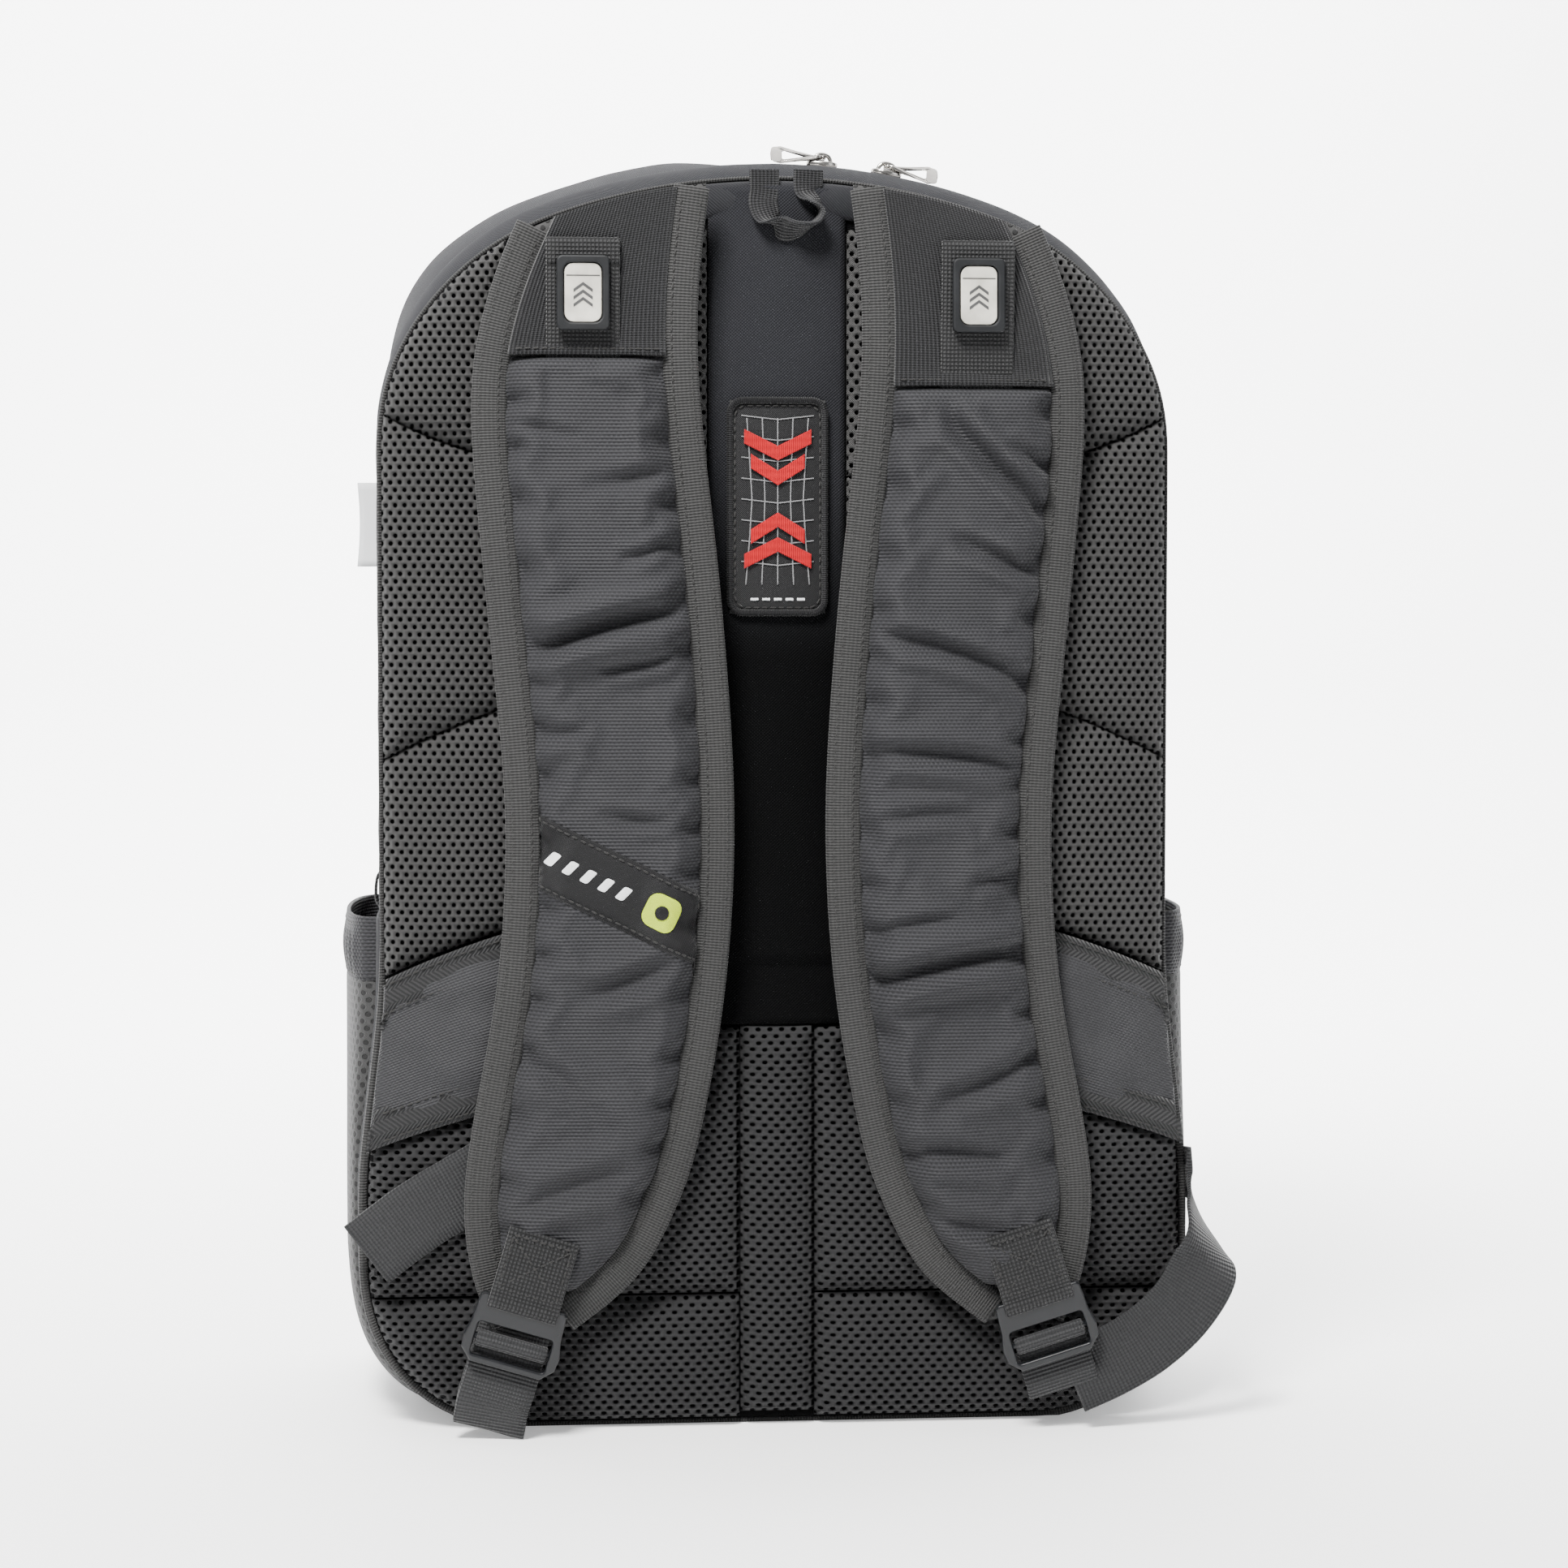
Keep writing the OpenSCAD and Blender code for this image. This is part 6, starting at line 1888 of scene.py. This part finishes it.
# Care label, zip end tabs, sleeve and lining.
CARE = corners("care_label")
rows = []
for t in np.linspace(0, 1, 12):
    z = CARE[0][2] * (1 - t) + CARE[1][2] * t
    rows.append([(CARE[0][0] + s * 12.5 + 1.0 * math.sin(3 * t), CARE[0][1] + 1.2 * math.sin(2.4 * t + s),
                  z) for s in np.linspace(0, 1, 6)])
care = sheet("care_label_sheet", rows, CLOTHS["care"], "front_flap", replaces=("care_label",),
             slot="label_white", thick=0.35)
TABS = corners("zip_tabs")
for side, word in ((-1, "left"), (1, "right")):
    x = TABS[1][0] - 0.4
    mid_y = (TABS[0][1] + TABS[1][1]) / 2
    stations = [((side * (x - 2.2), mid_y, TABS[0][2]), (0, 1, 0)),
                ((side * x, mid_y, TABS[0][2] + 3), (0, 1, 0)),
                ((side * (x + 0.3), mid_y, TABS[0][2] + 8), (0, 1, 0)),
                ((side * (x - 0.6), mid_y, TABS[1][2] - 1), (0, 1, 0)),
                ((side * (x - 2.4), mid_y, TABS[1][2]), (0, 1, 0))]
    ribbon("zip_end_tab_" + word, stations, 8, CLOTHS["webbing"], "pack_body", thick=1.0, slot="webbing",
           replaces=("zip_tabs",) if side > 0 else ())

SLEEVE = corners("laptop_sleeve")
w = SLEEVE[1][0]
rows = []
for t in np.linspace(0, 1, 50):
    z = SLEEVE[0][2] * (1 - t) + SLEEVE[1][2] * t
    depth = SLEEVE[1][1] - SLEEVE[0][1] - 1.0
    belly = 1.2 * math.sin(math.pi * t)
    row = [(-w, SLEEVE[0][1] + 0.3, z), (-w, SLEEVE[0][1] + depth * 0.5, z),
           (-w + 0.4, SLEEVE[1][1] - 4, z), (-w + 3, SLEEVE[1][1] - 1.2, z)]
    row += [(x, SLEEVE[1][1] - 0.4 + belly * math.cos(x / w * 1.4) - 0.8, z)
            for x in np.linspace(-w + 8, w - 8, 24)]
    row += [(w - 3, SLEEVE[1][1] - 1.2, z), (w - 0.4, SLEEVE[1][1] - 4, z),
            (w, SLEEVE[0][1] + depth * 0.5, z), (w, SLEEVE[0][1] + 0.3, z)]
    rows.append(row)
sheet("sleeve_cloth", rows, CLOTHS["lining"], "pack_body", flip=True, replaces=("laptop_sleeve",),
      slot="black_nylon", thick=2.2)
hem = [rows[-1][k] for k in range(3, 29)]
ribbon("sleeve_hem", [((x, y + 0.6, z - 6), (0, 0, 1)) for x, y, z in hem], 12, CLOTHS["binding"],
       "pack_body", thick=1.0, per=2,
       slot="webbing")
floor_rows = [[(x, y, SLEEVE[0][2] + 1.2) for x in np.linspace(-w + 0.5, w - 0.5, 20)]
              for y in np.linspace(SLEEVE[0][1] + 0.3, SLEEVE[1][1] - 1, 8)]
sheet("sleeve_floor", floor_rows, CLOTHS["lining"], "pack_body", thick=1.6)

# ---------------------------------------------------------------- finishes of the CAD nodes still shown

FINISH = {"back_board": "sheet"}
for name, key in FINISH.items():
    node = bpy.data.objects.get(name)
    if node and node.type == "MESH":
        node.data.materials.clear()
        node.data.materials.append(SOLIDS[key])
        project_uv(node.data)

# ---------------------------------------------------------------- floor, light and camera


def plain(name, colour, rough):
    n = Nodes(name, colour, rough, specular=0.2)
    n.shade(n.noise(400), scaled(colour, 0.985), scaled(colour, 1.015))
    return n.material


mesh = bpy.data.meshes.new("floor")
span, back, rise = 3.0, 2.2, 1.6
rows = [(-3.4, 0.0), (0.6, 0.0), (1.2, 0.0), (1.6, 0.06), (1.95, 0.25), (2.15, 0.6), (2.2, 1.2), (2.2, 3.2)]
verts = [(x, y, z) for y, z in rows for x in (-span, span)]
mesh.from_pydata(verts, [], [(2 * k, 2 * k + 1, 2 * k + 3, 2 * k + 2) for k in range(len(rows) - 1)])
floor = bpy.data.objects.new("floor", mesh)
scene.collection.objects.link(floor)
pale = plain("pale_floor", (0.93, 0.93, 0.93), 0.8)
for node in pale.node_tree.nodes:
    if node.type == "BSDF_PRINCIPLED":
        node.inputs["Emission Color"].default_value = (1, 1, 1, 1)
        node.inputs["Emission Strength"].default_value = 0.34
mesh.materials.append(pale)
mesh.polygons.foreach_set("use_smooth", [True] * len(mesh.polygons))
floor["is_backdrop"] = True


def soft_light(name, place, target, size, power, colour=(1, 1, 1)):
    lamp = bpy.data.lights.new(name, "AREA")
    lamp.shape = "RECTANGLE"
    lamp.size, lamp.size_y = size
    lamp.energy = power
    lamp.color = colour
    holder = bpy.data.objects.new(name, lamp)
    holder.location = place
    holder.rotation_euler = (Vector(target) - Vector(place)).to_track_quat("-Z", "Y").to_euler()
    scene.collection.objects.link(holder)


soft_light("key_light", (-0.42, -0.9, 1.42), (0, 0, 0.42), (0.42, 0.42), 78, (1.0, 0.99, 0.975))
soft_light("fill_light", (1.8, -1.5, 0.8), (0, 0, 0.25), (0.8, 1.0), 7, (0.95, 0.975, 1.0))
soft_light("top_light", (0.1, 0.6, 2.2), (0, 0.2, 0.2), (2.6, 2.0), 60)
soft_light("rim_left", (-1.6, 0.9, 0.9), (0, 0, 0.3), (0.5, 1.4), 16)
soft_light("rim_right", (1.7, 0.9, 1.0), (0, 0, 0.3), (0.5, 1.4), 14)
soft_light("wall_light", (0, 0.9, 1.6), (0, 2.2, 0.5), (2.8, 0.8), 190)

world = bpy.data.worlds.new("studio")
scene.world = world
world.use_nodes = True
world.node_tree.nodes["Background"].inputs[0].default_value = (0.95, 0.97, 1.0, 1)
world.node_tree.nodes["Background"].inputs[1].default_value = 0.42

target = Vector((0.0045, -0.055, 0.2497))
turn, lift, far = math.radians(4.6), math.radians(3.0), 1.3
lens = bpy.data.cameras.new("camera")
lens.lens = 75.6
lens.sensor_width = 36
camera = bpy.data.objects.new("camera", lens)
camera.location = target + Vector((-math.sin(turn) * math.cos(lift), -math.cos(turn) * math.cos(lift),
                                   math.sin(lift))) * far
camera.rotation_euler = (target - camera.location).to_track_quat("-Z", "Y").to_euler()
scene.collection.objects.link(camera)
scene.camera = camera

# ---------------------------------------------------------------- sizes

low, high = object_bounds()
